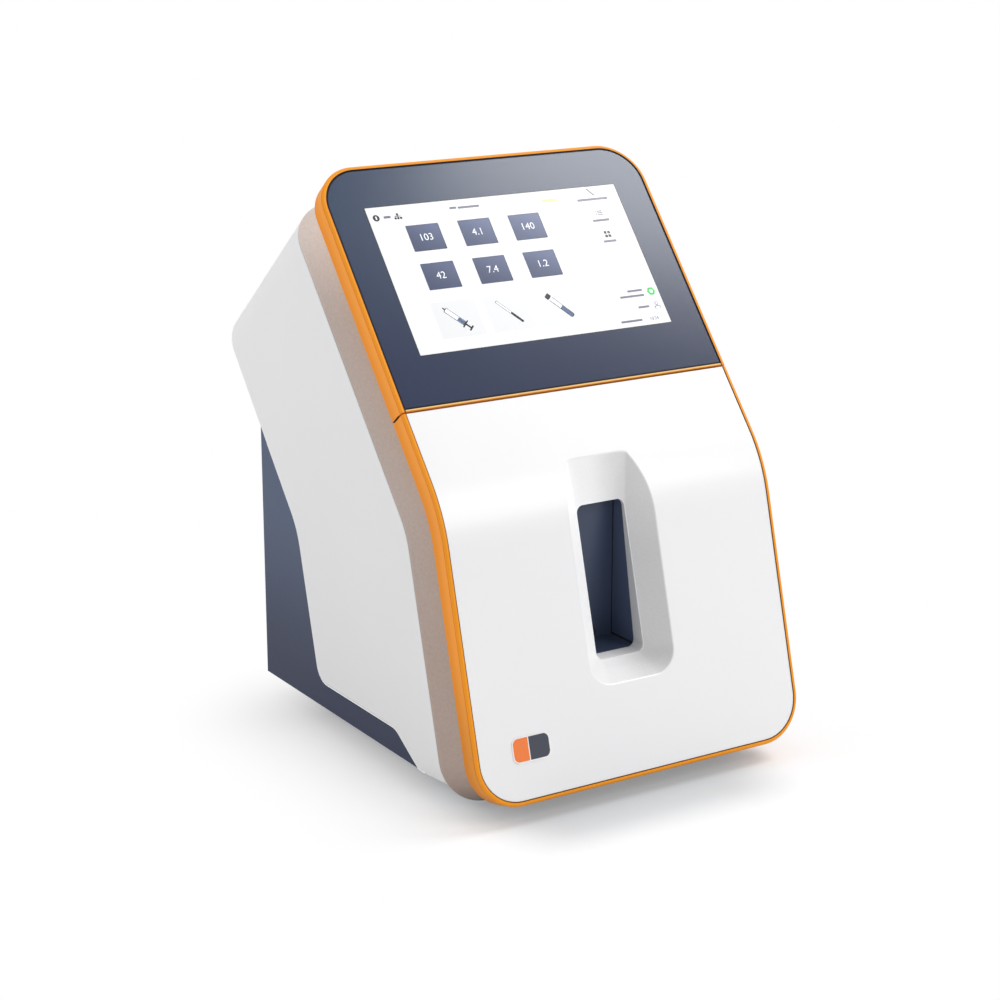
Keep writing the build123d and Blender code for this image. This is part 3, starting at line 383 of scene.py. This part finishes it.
def rim_orange():
    """Painted orange rim, its front a touch lighter as painted light, with painted shade low on its side,
    a painted highlight along the bar, and painted shade as dark lines in the gap round the glass and the
    door and in the slit on the side.
    """
    finish = Finish("rim_orange", {"Specular IOR Level": 0.1})
    slow = finish.noise(14.0, 3.0)
    fine = finish.noise(1600.0)
    deep = finish.face_depth()
    rise = finish.up_u()

    # Front, painted a touch lighter as painted light, and the side, deeper in tone towards its rear, with
    # painted shade low down
    front = 1.0 - finish.step(deep, *rim_turn)
    side = finish.blend(finish.step(deep, *rim_side), tint(246, 160, 66), tint(238, 144, 40))
    side = finish.shade(side, 1.0 - finish.step(finish.low_u(), *rim_shadow) * 0.19)
    paint = finish.blend(front, side, tint(252, 160, 44))

    # Bar under the glass, with a painted highlight along its upper edge
    bar = (abs(finish.x) < inner_half) * (rise < bar_top + 0.1 * mm) * (rise > bar_foot)
    painted_highlight_edge = finish.step(rise, bar_top - 1.2 * mm, bar_top - 0.9 * mm) * bar
    paint = finish.blend(bar, paint, tint(232, 150, 60))
    paint = finish.blend(painted_highlight_edge, paint, tint(255, 212, 140))

    # Painted shade in the gaps: a line brown round the door and nearly black round the glass
    bar_gap_shade = finish.step(rise, bar_top - 0.55 * mm, bar_top - 0.4 * mm) * bar
    rim_gap_shade = finish.band(finish.rim_reach(), 0.0, 0.3 * mm, 0.5 * mm)
    painted_gap_shade = rim_gap_shade.most(bar_gap_shade) * (deep < rim_turn[0])
    round_glass = finish.step(rise, bar_top - 1.0 * mm, bar_top - 0.6 * mm)
    paint = finish.blend(painted_gap_shade, paint, finish.blend(round_glass, tint(110, 64, 26), tint(20, 20, 28)))

    # Painted shade in the slit between the two rims, on the side
    painted_slit_shade = finish.band(rise, slit_height, 0.35 * mm, 0.5 * mm) * finish.step(deep, *slit_start)
    paint = finish.blend(painted_slit_shade, paint, tint(96, 44, 12))

    finish.feed("Base Color", finish.shade(paint, 1.0 + (slow - 1.0) * 0.05 + (fine - 1.0) * 0.03))
    finish.feed("Roughness", 0.48 + (slow - 1.0) * 0.06 + (fine - 1.0) * 0.04)
    finish.relief(fine * 0.5, 0.006 * mm)
    return finish


def shoulder_taupe():
    """Warm grey shoulder: grainy soft-touch paint, warmer near the rim with painted orange bounce light
    and greyer towards the shell, with painted light at the top and painted shade low down.
    """
    finish = Finish("shoulder_taupe")
    fine = finish.noise(700.0, 3.0)
    slow = finish.noise(16.0, 3.0)
    painted_bounce_fade = finish.step(finish.face_depth(), *shoulder_depth)
    # Painted orange bounce light near the rim, fading to grey towards the shell; then a painted lighter
    # top and painted shade low down
    paint = finish.blend(painted_bounce_fade, tint(184, 161, 146), tint(182, 166, 157))
    paint = finish.blend(finish.step(finish.z, *shoulder_painted_light), paint, tint(240, 224, 214))
    paint = finish.blend(finish.step(finish.z, *shoulder_painted_shade), paint, tint(175, 156, 145))
    finish.feed("Base Color", finish.shade(paint, 1.0 + (fine - 1.0) * 0.16 + (slow - 1.0) * 0.05))
    finish.feed("Roughness", 0.58 + (fine - 1.0) * 0.10)
    finish.relief(fine * 0.5, 0.03 * mm)
    return finish


def cover_glass():
    """Cover glass: smooth over a navy print that a painted reflection lightens towards the top, with a
    dark border of painted shade at the rim and over the bar.
    """
    finish = Finish("cover_glass", {"Specular IOR Level": 0.44})
    slow = finish.noise(6.0)
    smear = finish.noise(30.0, 4.0, (1.0, 2.2, 1.0))
    rise = finish.up_u()
    # Navy print, lightened up the glass by a painted reflection
    ink = finish.blend(finish.step(rise, *glass_painted_reflection), tint(4, 30, 70), tint(40, 60, 90))
    # Dark border of painted shade along the gaps at the rim and over the bar, also metallic and rougher
    rim_shade_line = finish.step(finish.rim_reach(), -0.9 * mm, -0.65 * mm)
    bar_shade_line = 1.0 - finish.step(rise, bar_top + 0.5 * mm, bar_top + 0.8 * mm)
    border = rim_shade_line.most(bar_shade_line)
    ink = finish.blend(border, ink, tint(10, 12, 22))
    finish.feed("Base Color", finish.shade(ink, 1.0 + (slow - 1.0) * 0.08))
    finish.feed("Roughness", 0.18 + (smear - 1.0) * 0.008 + border * 0.2)
    finish.feed("Metallic", border * 0.8)
    return finish


def base_navy():
    """Dark blue base: satin moulding, with painted shade low down."""
    finish = Finish("base_navy", {"Specular IOR Level": 0.3})
    slow = finish.noise(13.0, 3.0)
    fine = finish.noise(1200.0)
    # Painted shade: darker low down
    paint = finish.blend(finish.step(finish.z, *base_painted_shade), tint(26, 36, 66), tint(72, 85, 111))
    finish.feed("Base Color", finish.shade(paint, 1.0 + (slow - 1.0) * 0.07 + (fine - 1.0) * 0.06))
    finish.feed("Roughness", 0.48 + (fine - 1.0) * 0.07)
    finish.relief(fine * 0.5, 0.02 * mm)
    return finish


def bay_navy():
    """Tub behind the opening: smooth dark blue, its right side painted lighter as painted light, with the
    dark joint down its rear right corner.
    """
    finish = Finish("bay_navy")
    slow = finish.noise(11.0, 3.0)
    fine = finish.noise(900.0)
    joint = (finish.x > joint_left) * (finish.x < joint_right)
    # Right side painted lighter than the rear wall: painted light
    paint = finish.blend(finish.x > tub_painted_light_side, tint(64, 75, 100), tint(84, 96, 124))
    paint = finish.blend(joint, paint, tint(10, 12, 18))
    finish.feed("Base Color", finish.shade(paint, 1.0 + (slow - 1.0) * 0.08 + (fine - 1.0) * 0.04))
    finish.feed("Roughness", 0.34 + (slow - 1.0) * 0.06 + (fine - 1.0) * 0.05)
    finish.relief(fine * 0.5, 0.006 * mm)
    return finish


def badge_paint():
    """Small plate: orange field and slate field inside a thin pale border."""
    finish = Finish("badge_paint", {"Coat Weight": 0.15, "Coat Roughness": 0.08})
    fine = finish.noise(900.0)
    across = finish.x - badge_x
    along = finish.low_u() - badge_u
    over_x = abs(across) - (badge_half - badge_corner)
    over_u = abs(along) - (badge_half_tall - badge_corner)
    edge = badge_corner - corner_reach(over_x, over_u)
    border = 1.0 - finish.step(edge, 0.5 * mm, 0.65 * mm)
    divider = finish.band(across, badge_divider, 0.2 * mm, 0.32 * mm)
    right = finish.step(across, badge_divider - 0.1 * mm, badge_divider + 0.1 * mm)
    paint = finish.blend(right, tint(252, 130, 56), tint(58, 63, 76))
    paint = finish.blend(border.most(divider), paint, tint(252, 251, 250))
    finish.feed("Base Color", finish.shade(paint, 1.0 + (fine - 1.0) * 0.04))
    finish.feed("Roughness", 0.3 + (fine - 1.0) * 0.05)
    return finish


def board_green():
    """Circuit board: green mask over fine tracks, with pale pads."""
    finish = Finish("board_green", {"Coat Weight": 0.3, "Coat Roughness": 0.2})
    tracks = finish.step(finish.cells(420.0), 0.42, 0.52)
    pads = 1.0 - finish.step(finish.cells(260.0), 0.10, 0.14)
    mask = finish.blend(tracks, tint(22, 84, 52), tint(42, 118, 70))
    finish.feed("Base Color", finish.blend(pads, mask, tint(206, 200, 176)))
    finish.feed("Metallic", pads * 0.8)
    finish.feed("Roughness", 0.42 - pads * 0.1)
    finish.relief(tracks, 0.02 * mm)
    return finish


def brushed(name, colour, rough, stretch, deep=0.004):
    """Metal with fine lines left by its working, of a depth in mm."""
    finish = Finish(name, {"Metallic": 1.0})
    lines = finish.noise(240.0, 3.0, stretch)
    slow = finish.noise(20.0)
    finish.feed("Base Color", finish.shade(colour, 1.0 + (lines - 1.0) * 0.12 + (slow - 1.0) * 0.05))
    finish.feed("Roughness", rough + (lines - 1.0) * 0.10)
    finish.relief(lines * 0.5, deep * mm)
    return finish


def zinc_plated():
    """Plated screws: pale metal with a faint warm bloom."""
    finish = Finish("zinc_plated", {"Metallic": 1.0})
    bloom = finish.step(finish.noise(160.0, 3.0), 0.8, 1.3)
    fine = finish.noise(2200.0)
    finish.feed("Base Color", finish.blend(bloom, tint(196, 200, 202), tint(206, 200, 176)))
    finish.feed("Roughness", 0.34 + (fine - 1.0) * 0.12)
    finish.relief(fine * 0.5, 0.01 * mm)
    return finish


def soft_rubber():
    """Black rubber: matt, with a fine dusty bloom."""
    finish = Finish("soft_rubber")
    fine = finish.noise(1800.0, 3.0)
    dust = finish.step(finish.noise(45.0, 4.0), 0.9, 1.4)
    finish.feed("Base Color", finish.blend(dust * 0.35, tint(30, 31, 33), tint(74, 74, 74)))
    finish.feed("Roughness", 0.78 + (fine - 1.0) * 0.12)
    finish.relief(fine * 0.5, 0.03 * mm)
    return finish


def pump_silicone():
    """Pump tube: milky silicone with a soft surface."""
    finish = Finish("pump_silicone", {"Subsurface Weight": 0.4, "Subsurface Scale": 2.0 * mm,
                                      "Coat Weight": 0.2})
    slow = finish.noise(60.0, 3.0)
    fine = finish.noise(1500.0)
    finish.feed("Base Color", finish.shade(tint(222, 220, 208), 1.0 + (slow - 1.0) * 0.06))
    finish.feed("Roughness", 0.36 + (fine - 1.0) * 0.08)
    finish.relief(fine * 0.5, 0.008 * mm)
    return finish


def display_dark():
    """Display module: black glass face and a thin steel case at its edges."""
    finish = Finish("display_dark")
    fine = finish.noise(1500.0)
    case = finish.step(abs(finish.x), *case_edge)
    finish.feed("Base Color", finish.blend(case, tint(24, 26, 30), tint(168, 170, 174)))
    finish.feed("Metallic", case)
    finish.feed("Roughness", 0.3 + case * 0.1 + (fine - 1.0) * 0.08)
    return finish


finishes = {
    "orange": rim_orange(),
    "glass": cover_glass(),
    "shell": moulded("shell_white", tint(233, 233, 234), 0.46, 1300.0, 0.015, 0.03),
    "gloss": gloss_white(),
    "shoulder": shoulder_taupe(),
    "base": base_navy(),
    "bay": bay_navy(),
    "badge": badge_paint(),
    "display": display_dark(),
    "board": board_green(),
    "dark": moulded("dark_plastic", tint(44, 46, 50), 0.42, 1400.0, 0.012, 0.10),
    "rubber": soft_rubber(),
    "steel": brushed("ground_steel", tint(196, 198, 200), 0.26, (1.0, 0.08, 1.0)),
    "sheet": brushed("drawn_sheet", tint(178, 181, 184), 0.36, (0.08, 1.0, 1.0)),
    "magnet": brushed("nickel_magnet", tint(206, 204, 198), 0.18, (1.0, 1.0, 1.0), 0.002),
    "zinc": zinc_plated(),
    "pump": moulded("pump_grey", tint(118, 124, 130), 0.44, 1200.0, 0.012, 0.07),
    "cover": moulded("pump_cover_clear", tint(196, 204, 208), 0.16, 400.0, 0.004, 0.04,
                     {"Coat Weight": 0.5}),
    "silicone": pump_silicone(),
    "motor": brushed("motor_can", tint(150, 152, 156), 0.32, (1.0, 0.1, 1.0)),
    "cartridge": moulded("cartridge_white", tint(226, 229, 232), 0.3, 900.0, 0.008, 0.04),
    "pack": moulded("pack_white", tint(214, 218, 222), 0.4, 700.0, 0.012, 0.05),
}

node_finishes = {
    "display_frame": "orange", "touch_glass": "glass", "lcd_panel": "display",
    "display_board": "board", "display_spacers": "zinc", "front_carrier": "shoulder",
    "strike_plates": "zinc", "rear_housing": "shell", "base_tray": "base", "feet": "rubber",
    "base_screws": "zinc", "door_frame": "orange", "door_panel": "gloss", "badge_plate": "badge",
    "door_liner": "shell", "door_magnets": "magnet", "door_hinge_leaves": "steel",
    "body_hinge_leaves": "steel", "hinge_pins": "steel", "sample_bay": "bay", "probe_seal": "rubber",
    "probe_frame": "sheet", "probe_rods": "steel", "probe_drive": "motor", "probe_carriage": "dark",
    "probe_needle": "steel", "pump_body": "pump", "pump_cover": "cover", "pump_rotor": "dark",
    "pump_tube": "silicone", "pump_motor": "motor", "pinch_valves": "dark",
    "sensor_cartridge": "cartridge", "fluid_pack": "pack", "board_posts": "zinc",
    "main_board": "board", "usb_ports": "steel", "network_port": "sheet", "power_supply": "sheet",
    "power_inlet": "dark", "switch_frame": "dark", "switch_rocker": "dark",
}

for name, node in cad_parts.items():
    for slot in node.material_slots:
        slot.material = finishes[node_finishes[name]].material


def flat(name, colour, glow, mottled=0.03):
    """Ink or light of the screen's picture, and the glow of the painted highlight along the shell's edge,
    as smooth as the glass.
    """
    finish = Finish(name, {"Specular IOR Level": 0.4, "Emission Strength": glow})
    dots = finish.noise(2400.0, 1.0)
    lit = finish.shade(colour, 1.0 + (dots - 1.0) * mottled)
    finish.feed("Base Color", lit)
    finish.feed("Emission Color", lit)
    finish.feed("Roughness", 0.2 + (dots - 1.0) * 0.03)
    return finish


def tile_blue():
    """Tiles of the picture: slate blue, lighter towards the upper right of each, and towards the upper
    right of them all by a painted reflection.
    """
    finish = Finish("tile_blue", {"Specular IOR Level": 0.4, "Emission Strength": 0.03})
    rise = finish.up_u()
    column = (finish.x - tile_start[0] * mm) / (tile_pitch[0] * mm)
    row = (rise - tile_start[1] * mm) / (tile_pitch[1] * mm)
    across = column - (column + 0.01).whole()
    along = row - (row + 0.01).whole()
    lift = finish.step(across * 0.8 + along, 0.1, 1.3)
    # Painted reflection: all the tiles lighter towards the upper right
    painted_sheen = finish.step(rise + finish.x * 0.5, *tile_painted_sheen)
    ink = finish.shade(finish.blend(lift, tint(58, 72, 108), tint(90, 101, 139)), 0.92 + painted_sheen * 0.26)
    finish.feed("Base Color", ink)
    finish.feed("Emission Color", ink)
    finish.feed("Roughness", 0.2 + (finish.noise(900.0, 1.0) - 1.0) * 0.02)
    return finish


inks = {
    "painted_highlight": flat("edge_painted_highlight", tint(252, 252, 252), 0.14, 0.01),
    "white": flat("picture_white", tint(244, 245, 248), 0.12, 0.01),
    "edge": flat("picture_edge", tint(30, 34, 46), 0.0, 0.05),
    "tile": tile_blue(),
    "tile_edge": flat("tile_edge", tint(56, 62, 96), 0.05),
    "pale": flat("picture_pale", tint(236, 237, 239), 0.12, 0.01),
    "grey": flat("picture_grey", tint(116, 120, 134), 0.03),
    "slate": flat("picture_slate", tint(6, 8, 20), 0.0, 0.04),
    "fluid": flat("picture_fluid", tint(84, 106, 144), 0.06, 0.04),
    "green": flat("picture_green", tint(48, 196, 80), 0.2),
    "yellow": flat("picture_yellow", tint(250, 232, 150), 0.2, 0.02),
    "figure": flat("picture_figure", tint(244, 246, 252), 0.22, 0.01),
}

upper_plane = Matrix((
    (1.0, 0.0, 0.0, 0.0),
    (0.0, math.sin(lean_up), -math.cos(lean_up), bend_y),
    (0.0, math.cos(lean_up), math.sin(lean_up), bend_z),
    (0.0, 0.0, 0.0, 1.0),
))


def deselect():
    bpy.ops.object.select_all(action="DESELECT")


def apply_place():
    bpy.ops.object.transform_apply(location=True, rotation=True, scale=True)


def join(pieces):
    """Join pieces into the first of them, which stays active."""
    deselect()
    for piece in pieces:
        piece.select_set(True)
    bpy.context.view_layer.objects.active = pieces[0]
    if len(pieces) > 1:
        bpy.ops.object.join()
    return pieces[0]


def thicken(levels):
    """Extrude the active flat piece by the height between two levels, in mm."""
    bpy.ops.object.mode_set(mode="EDIT")
    bpy.ops.mesh.select_all(action="SELECT")
    thick = (levels[1] - levels[0]) * mm
    bpy.ops.mesh.extrude_region_move(TRANSFORM_OT_translate={"value": (0.0, 0.0, thick)})
    bpy.ops.mesh.select_all(action="SELECT")
    bpy.ops.mesh.normals_make_consistent(inside=False)
    bpy.ops.object.mode_set(mode="OBJECT")


def put(piece, centre, level, turn=0.0):
    """Turn the active piece and place it in the picture, in mm."""
    piece.location = (centre[0] * mm, centre[1] * mm, level * mm)
    piece.rotation_euler = (0.0, 0.0, turn)
    apply_place()
    return piece


def plate(name, centre, size, levels, corner=0.0, turn=0.0):
    """Thin plate with round corners, drawn flat, its sizes in mm."""
    deselect()
    bpy.ops.mesh.primitive_plane_add(size=1.0)
    piece = bpy.context.object
    piece.name = name
    piece.scale = (size[0] * mm, size[1] * mm, 1.0)
    apply_place()
    if corner > 0.0:
        bpy.ops.object.mode_set(mode="EDIT")
        bpy.ops.mesh.select_all(action="SELECT")
        bpy.ops.mesh.bevel(offset=corner * mm, segments=4, affect="VERTICES")
        bpy.ops.object.mode_set(mode="OBJECT")
    thicken(levels)
    return put(piece, centre, levels[0], turn)


def disc(name, centre, radius, levels, sides=20, turn=0.0):
    """Thin round or many-sided plate, drawn flat, its sizes in mm."""
    deselect()
    bpy.ops.mesh.primitive_circle_add(vertices=sides, radius=radius * mm, fill_type="NGON")
    piece = bpy.context.object
    piece.name = name
    thicken(levels)
    return put(piece, centre, levels[0], turn)


def figures(name, words, centre, tall, levels):
    """Plain figures as a thin mesh, drawn flat, their height in mm."""
    deselect()
    bpy.ops.object.text_add()
    piece = bpy.context.object
    piece.name = name
    piece.data.body = words
    piece.data.align_x = "CENTER"
    piece.data.align_y = "CENTER"
    piece.data.size = tall * mm * 1.4
    piece.data.extrude = (levels[1] - levels[0]) * mm / 2
    piece.data.resolution_u = 3
    bpy.ops.object.convert(target="MESH")
    return put(bpy.context.object, centre, (levels[0] + levels[1]) / 2)


def gather(name, pieces, ink):
    """Join flat pieces of one ink, lay them on the glass and let them ride with the body."""
    whole = join(pieces)
    whole.name = name
    whole.matrix_world = upper_plane @ whole.matrix_world
    apply_place()
    whole.data.materials.clear()
    whole.data.materials.append(inks[ink].material)
    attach(whole, "housing")


def border_line(side):
    """Line of the painted highlight along the shell's lower and rear border, cut from a merged copy of
    the shell.
    """
    deselect()
    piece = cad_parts["rear_housing"].copy()
    piece.data = piece.data.copy()
    bpy.context.scene.collection.objects.link(piece)
    piece.select_set(True)
    bpy.context.view_layer.objects.active = piece
    bpy.ops.object.mode_set(mode="EDIT")
    bpy.ops.mesh.select_mode(type="VERT")
    bpy.ops.mesh.select_all(action="SELECT")
    bpy.ops.mesh.remove_doubles(threshold=0.01 * mm)

    # Keep only where the plane at the side cuts the shell, up to the line's rear and upper ends
    bpy.ops.mesh.select_all(action="SELECT")
    bpy.ops.mesh.bisect(plane_co=(side * line_x, 0.0, 0.0), plane_no=(1.0, 0.0, 0.0),
                        clear_inner=True, clear_outer=True)
    for place, way in (((0.0, line_rear, 0.0), (0.0, 1.0, 0.0)), ((0.0, 0.0, line_top), (0.0, 0.0, 1.0))):
        bpy.ops.mesh.select_all(action="SELECT")
        bpy.ops.mesh.bisect(plane_co=place, plane_no=way, clear_outer=True)
    bpy.ops.mesh.select_all(action="SELECT")
    bpy.ops.mesh.remove_doubles(threshold=0.05 * mm)

    # Drop what lies along the shoulder
    bpy.ops.mesh.select_all(action="DESELECT")
    shape = bmesh.from_edit_mesh(piece.data)
    for vert in shape.verts:
        depth = min(plane_depth(vert.co.y, vert.co.z, lean) for lean in (lean_low, lean_up))
        vert.select_set(depth < line_depth)
    shape.select_flush_mode()
    bmesh.update_edit_mesh(piece.data)
    bpy.ops.mesh.delete(type="VERT")
    bpy.ops.object.mode_set(mode="OBJECT")
    return piece


# Painted highlight: a thin bright line that glows a little, along the shell's border on both sides, where
# its small round edge catches the light
join([border_line(side) for side in (-1.0, 1.0)])
bpy.ops.object.convert(target="CURVE")
shell_edge_highlight = bpy.context.object
shell_edge_highlight.name = "shell_edge_highlight"
shell_edge_highlight.data.bevel_depth = line_radius
shell_edge_highlight.data.bevel_resolution = 2
shell_edge_highlight.data.use_fill_caps = True
bpy.ops.object.convert(target="MESH")
shell_edge_highlight = bpy.context.object
bpy.ops.object.mode_set(mode="EDIT")
bpy.ops.mesh.select_all(action="SELECT")
bpy.ops.mesh.remove_doubles(threshold=0.001 * mm)
bpy.ops.mesh.normals_make_consistent(inside=False)
bpy.ops.object.mode_set(mode="OBJECT")
bpy.ops.object.shade_smooth_by_angle(angle=math.radians(50.0))
shell_edge_highlight.data.materials.clear()
shell_edge_highlight.data.materials.append(inks["painted_highlight"].material)
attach(shell_edge_highlight, "housing")

# Picture: dark edge, white field, six tiles with figures and three pale boxes
edge_size = (picture_size[0] + picture_border, picture_size[1] + picture_border)
gather("picture_edge", [plate("edge", picture_spot, edge_size, (glass_level, edge_level), 0.6)], "edge")
gather("picture_field", [plate("field", picture_spot, picture_size, (glass_level, white_level), 0.3)],
       "white")
gather("tile_edges", [plate("tile_edge", spot, (19.4, 15.5), tile_levels, 0.4) for spot in tile_spots],
       "tile_edge")
gather("tiles", [plate("tile", spot, (18.7, 14.8), (tile_levels[0], tile_top), 0.3)
                 for spot in tile_spots], "tile")
gather("tile_figures", [figures("figure", words, spot, 4.1, (tile_level, mark_level))
                        for words, spot in zip(readings, tile_spots)], "figure")
gather("sample_boxes", [plate("box", spot, (25.6, 20.9), tile_levels, 0.5) for spot in box_spots], "pale")

dark_marks = []
light_marks = []
fluid_marks = []
grey_marks = []


def bars_along(start, end, rows):
    """Plates along a line of the picture. A row: marks, shares of the line, width, levels, corner."""
    turn = math.atan2(end[1] - start[1], end[0] - start[0])
    for marks, (first, last), wide, levels, corner in rows:
        middle = [a + (b - a) * (first + last) / 2 for a, b in zip(start, end)]
        long = math.dist(start, end) * (last - first)
        marks.append(plate("bar", middle, (long, wide), levels, corner, turn))


# Syringe: tip, barrel, its clear part, the fluid in it, flange, rod and thumb rest
bars_along((-55.0, 110.8), (-42.3, 97.2), (
    (dark_marks, (0.0, 0.10), 0.7, mark_levels, 0.0),
    (dark_marks, (0.08, 0.76), 3.0, mark_levels, 0.4),
    (light_marks, (0.10, 0.74), 2.4, top_levels, 0.3),
    (fluid_marks, (0.52, 0.74), 2.2, (mark_level, figure_level + lap), 0.2),
    (dark_marks, (0.75, 0.79), 5.2, mark_levels, 0.2),
    (dark_marks, (0.78, 0.97), 1.0, mark_levels, 0.0),
    (dark_marks, (0.95, 1.0), 3.6, mark_levels, 0.2),
))

# Capillary: outline of its empty part, the clear part, and the full part
bars_along((-23.2, 110.8), (-11.4, 97.4), (
    (grey_marks, (0.0, 0.56), 1.5, mark_levels, 0.5),
    (light_marks, (0.02, 0.55), 1.0, top_levels, 0.3),
    (dark_marks, (0.55, 1.0), 1.4, mark_levels, 0.4),
))

# Sample tube: cap, tube, its clear part and its full part
bars_along((7.6, 110.8), (19.4, 96.9), (
    (dark_marks, (0.0, 0.14), 3.4, mark_levels, 0.4),
    (dark_marks, (0.14, 1.0), 2.9, mark_levels, 1.2),
    (light_marks, (0.15, 0.56), 2.2, top_levels, 0.2),
    (fluid_marks, (0.56, 0.98), 2.2, top_levels, 0.9),
))

# Status row: a ring with its mark, a count, and one square linked to three under it
dark_marks.append(disc("status_ring", (-72.6, 166.0), 1.9, mark_levels))
light_marks.append(plate("status_mark", (-72.6, 166.0), (0.8, 2.0), top_levels, 0.3))
grey_marks.append(plate("status_count", (-66.2, 166.0), (4.0, 1.3), mark_levels, 0.4))
for spot in ((-60.0, 167.1), (-61.6, 164.8), (-60.0, 164.8), (-58.4, 164.8)):
    dark_marks.append(plate("status_square", spot, (1.2, 1.2), mark_levels, 0.2))
for spot, size in (((-60.0, 166.0), (3.4, 0.35)), ((-60.0, 166.2), (0.4, 1.2))):
    dark_marks.append(plate("status_stem", spot, size, mark_levels))

# Bars in place of the title and of the entries in the column at the right
for name, spot, size in (
        ("title", (-17.0, 167.4), (13.0, 1.2)), ("title", (-26.4, 167.6), (4.2, 1.2)),
        ("entry", (60.0, 164.4), (19.5, 1.3)), ("entry", (60.0, 151.2), (10.5, 1.3)),
        ("entry", (60.2, 138.1), (8.0, 1.3)), ("entry", (62.4, 106.9), (9.5, 1.2)),
        ("entry", (59.5, 103.8), (15.5, 1.2)), ("entry", (64.0, 96.8), (7.0, 1.2)),
        ("entry", (53.0, 89.4), (13.5, 1.2))):
    grey_marks.append(plate(name, spot, size, mark_levels, 0.5))

# Icons of the column, from its top to its foot: probe, list, menu and user, then the clock
grey_marks.append(plate("probe_icon", (60.3, 168.9), (5.6, 0.8), mark_levels, 0.3, math.radians(-52)))
for drop in (-1.1, 0.0, 1.1):
    grey_marks.append(plate("list_line", (61.0, 155.7 + drop), (3.2, 0.5), mark_levels))
    grey_marks.append(plate("list_dot", (58.6, 155.7 + drop), (0.6, 0.5), mark_levels))
for spot in ((59.3, 141.3), (59.3, 143.5), (61.5, 141.3), (61.5, 143.5)):
    dark_marks.append(plate("menu_square", spot, (1.6, 1.6), mark_levels, 0.3))
grey_marks.append(disc("user_head", (72.6, 98.0), 1.1, mark_levels))
light_marks.append(disc("user_head", (72.6, 98.0), 0.7, top_levels))
grey_marks.append(plate("user_body", (72.6, 95.7), (3.8, 1.8), mark_levels, 0.8))
light_marks.append(plate("user_body", (72.6, 95.5), (3.0, 1.2), top_levels, 0.5))
grey_marks.append(figures("clock", "10:24", (67.5, 89.4), 1.9, mark_levels))

gather("picture_dividers", [plate("divider", (60.6, u), (17.0, 0.25), mark_levels)
                            for u in (160.2, 147.3)], "pale")
gather("dark_marks", dark_marks, "slate")
gather("grey_marks", grey_marks, "grey")
gather("light_marks", light_marks, "figure")
gather("fluid_marks", fluid_marks, "fluid")
gather("ready_hexagon", [disc("hexagon", (72.5, 105.5), 2.6, mark_levels, 6, math.radians(30))], "green")
gather("ready_ring", [disc("ring", (72.5, 105.5), 1.1, top_levels, 16)], "figure")
gather("notice", [plate("notice", (33.2, 166.3), (9.5, 1.6), mark_levels, 0.7)], "yellow")

# Floor: pale, keeps the shadow, has painted shadow greys under the rim, and goes on as the white backdrop
deselect()
bpy.ops.mesh.primitive_plane_add(size=floor_size)
floor = bpy.context.object
floor.name = "floor"
ground = Finish("floor_pale", {"Roughness": 0.75, "Specular IOR Level": 0.1})
mottle = ground.noise(3.0)
across = ground.band(ground.x, *painted_shadow_across)
front = ground.band(ground.y, *painted_shadow_front) * across
painted_shadow_core = ground.band(ground.y, *painted_shadow_under) * across
# Painted shadow under the rim: grey in front, bluish beneath it where it offsets the rim's orange bounce
# light
paint = ground.blend(front, tint(244, 244, 245), (0.50, 0.515, 0.53))
paint = ground.blend(painted_shadow_core, paint, (0.43, 0.52, 0.58))
ground.feed("Base Color", ground.shade(paint, 1.0 + (mottle - 1.0) * 0.01))
seen = ground.seen()
reach = corner_reach(abs(ground.x) - patch_half[0], abs(ground.y - patch_y) - patch_half[1])
far = ground.step(reach, *patch_fade)
lift = ground.add("ShaderNodeEmission", None, {"Color": white_light, "Strength": seen * floor_lift})
near = ground.add("ShaderNodeAddShader", None, {0: Wire(ground, ground.shader.outputs[0]), 1: lift})
backdrop = ground.add("ShaderNodeEmission", None, {"Color": white_light, "Strength": 1.0})
ground.show(ground.add("ShaderNodeMixShader", None, {0: far * seen, 1: near, 2: backdrop}))
floor.data.materials.append(ground.material)

# World: even light, seen as white
world = bpy.data.worlds.new("studio")
bpy.context.scene.world = world
world.use_nodes = True
sky = Graph(world.node_tree)
even = sky.add("ShaderNodeBackground", None, {"Color": white_light, "Strength": world_level})
white = sky.add("ShaderNodeBackground", None, {"Color": white_light, "Strength": 1.0})
sky.show(sky.add("ShaderNodeMixShader", None, {0: sky.seen(), 1: even, 2: white}))


def softbox(name, place, aim, size, power):
    """Large square lamp, pointed at a place."""
    lamp_data = bpy.data.lights.new(name, "AREA")
    lamp_data.shape = "SQUARE"
    lamp_data.size = size
    lamp_data.energy = power
    lamp = bpy.data.objects.new(name, lamp_data)
    lamp.location = place
    sight = Vector(aim) - Vector(place)
    lamp.rotation_euler = sight.to_track_quat("-Z", "Y").to_euler()
    bpy.context.scene.collection.objects.link(lamp)


softbox("key_softbox", (1.34, -0.26, 1.68), (0.0, 0.0, 0.2), 0.8, 18.7)
softbox("front_softbox", (0.82, -1.47, 1.29), (0.0, 0.0, 0.15), 0.9, 9.8)
softbox("side_softbox", (-1.5, 0.5, 0.9), (0.0, 0.0, 0.15), 1.0, 10.0)
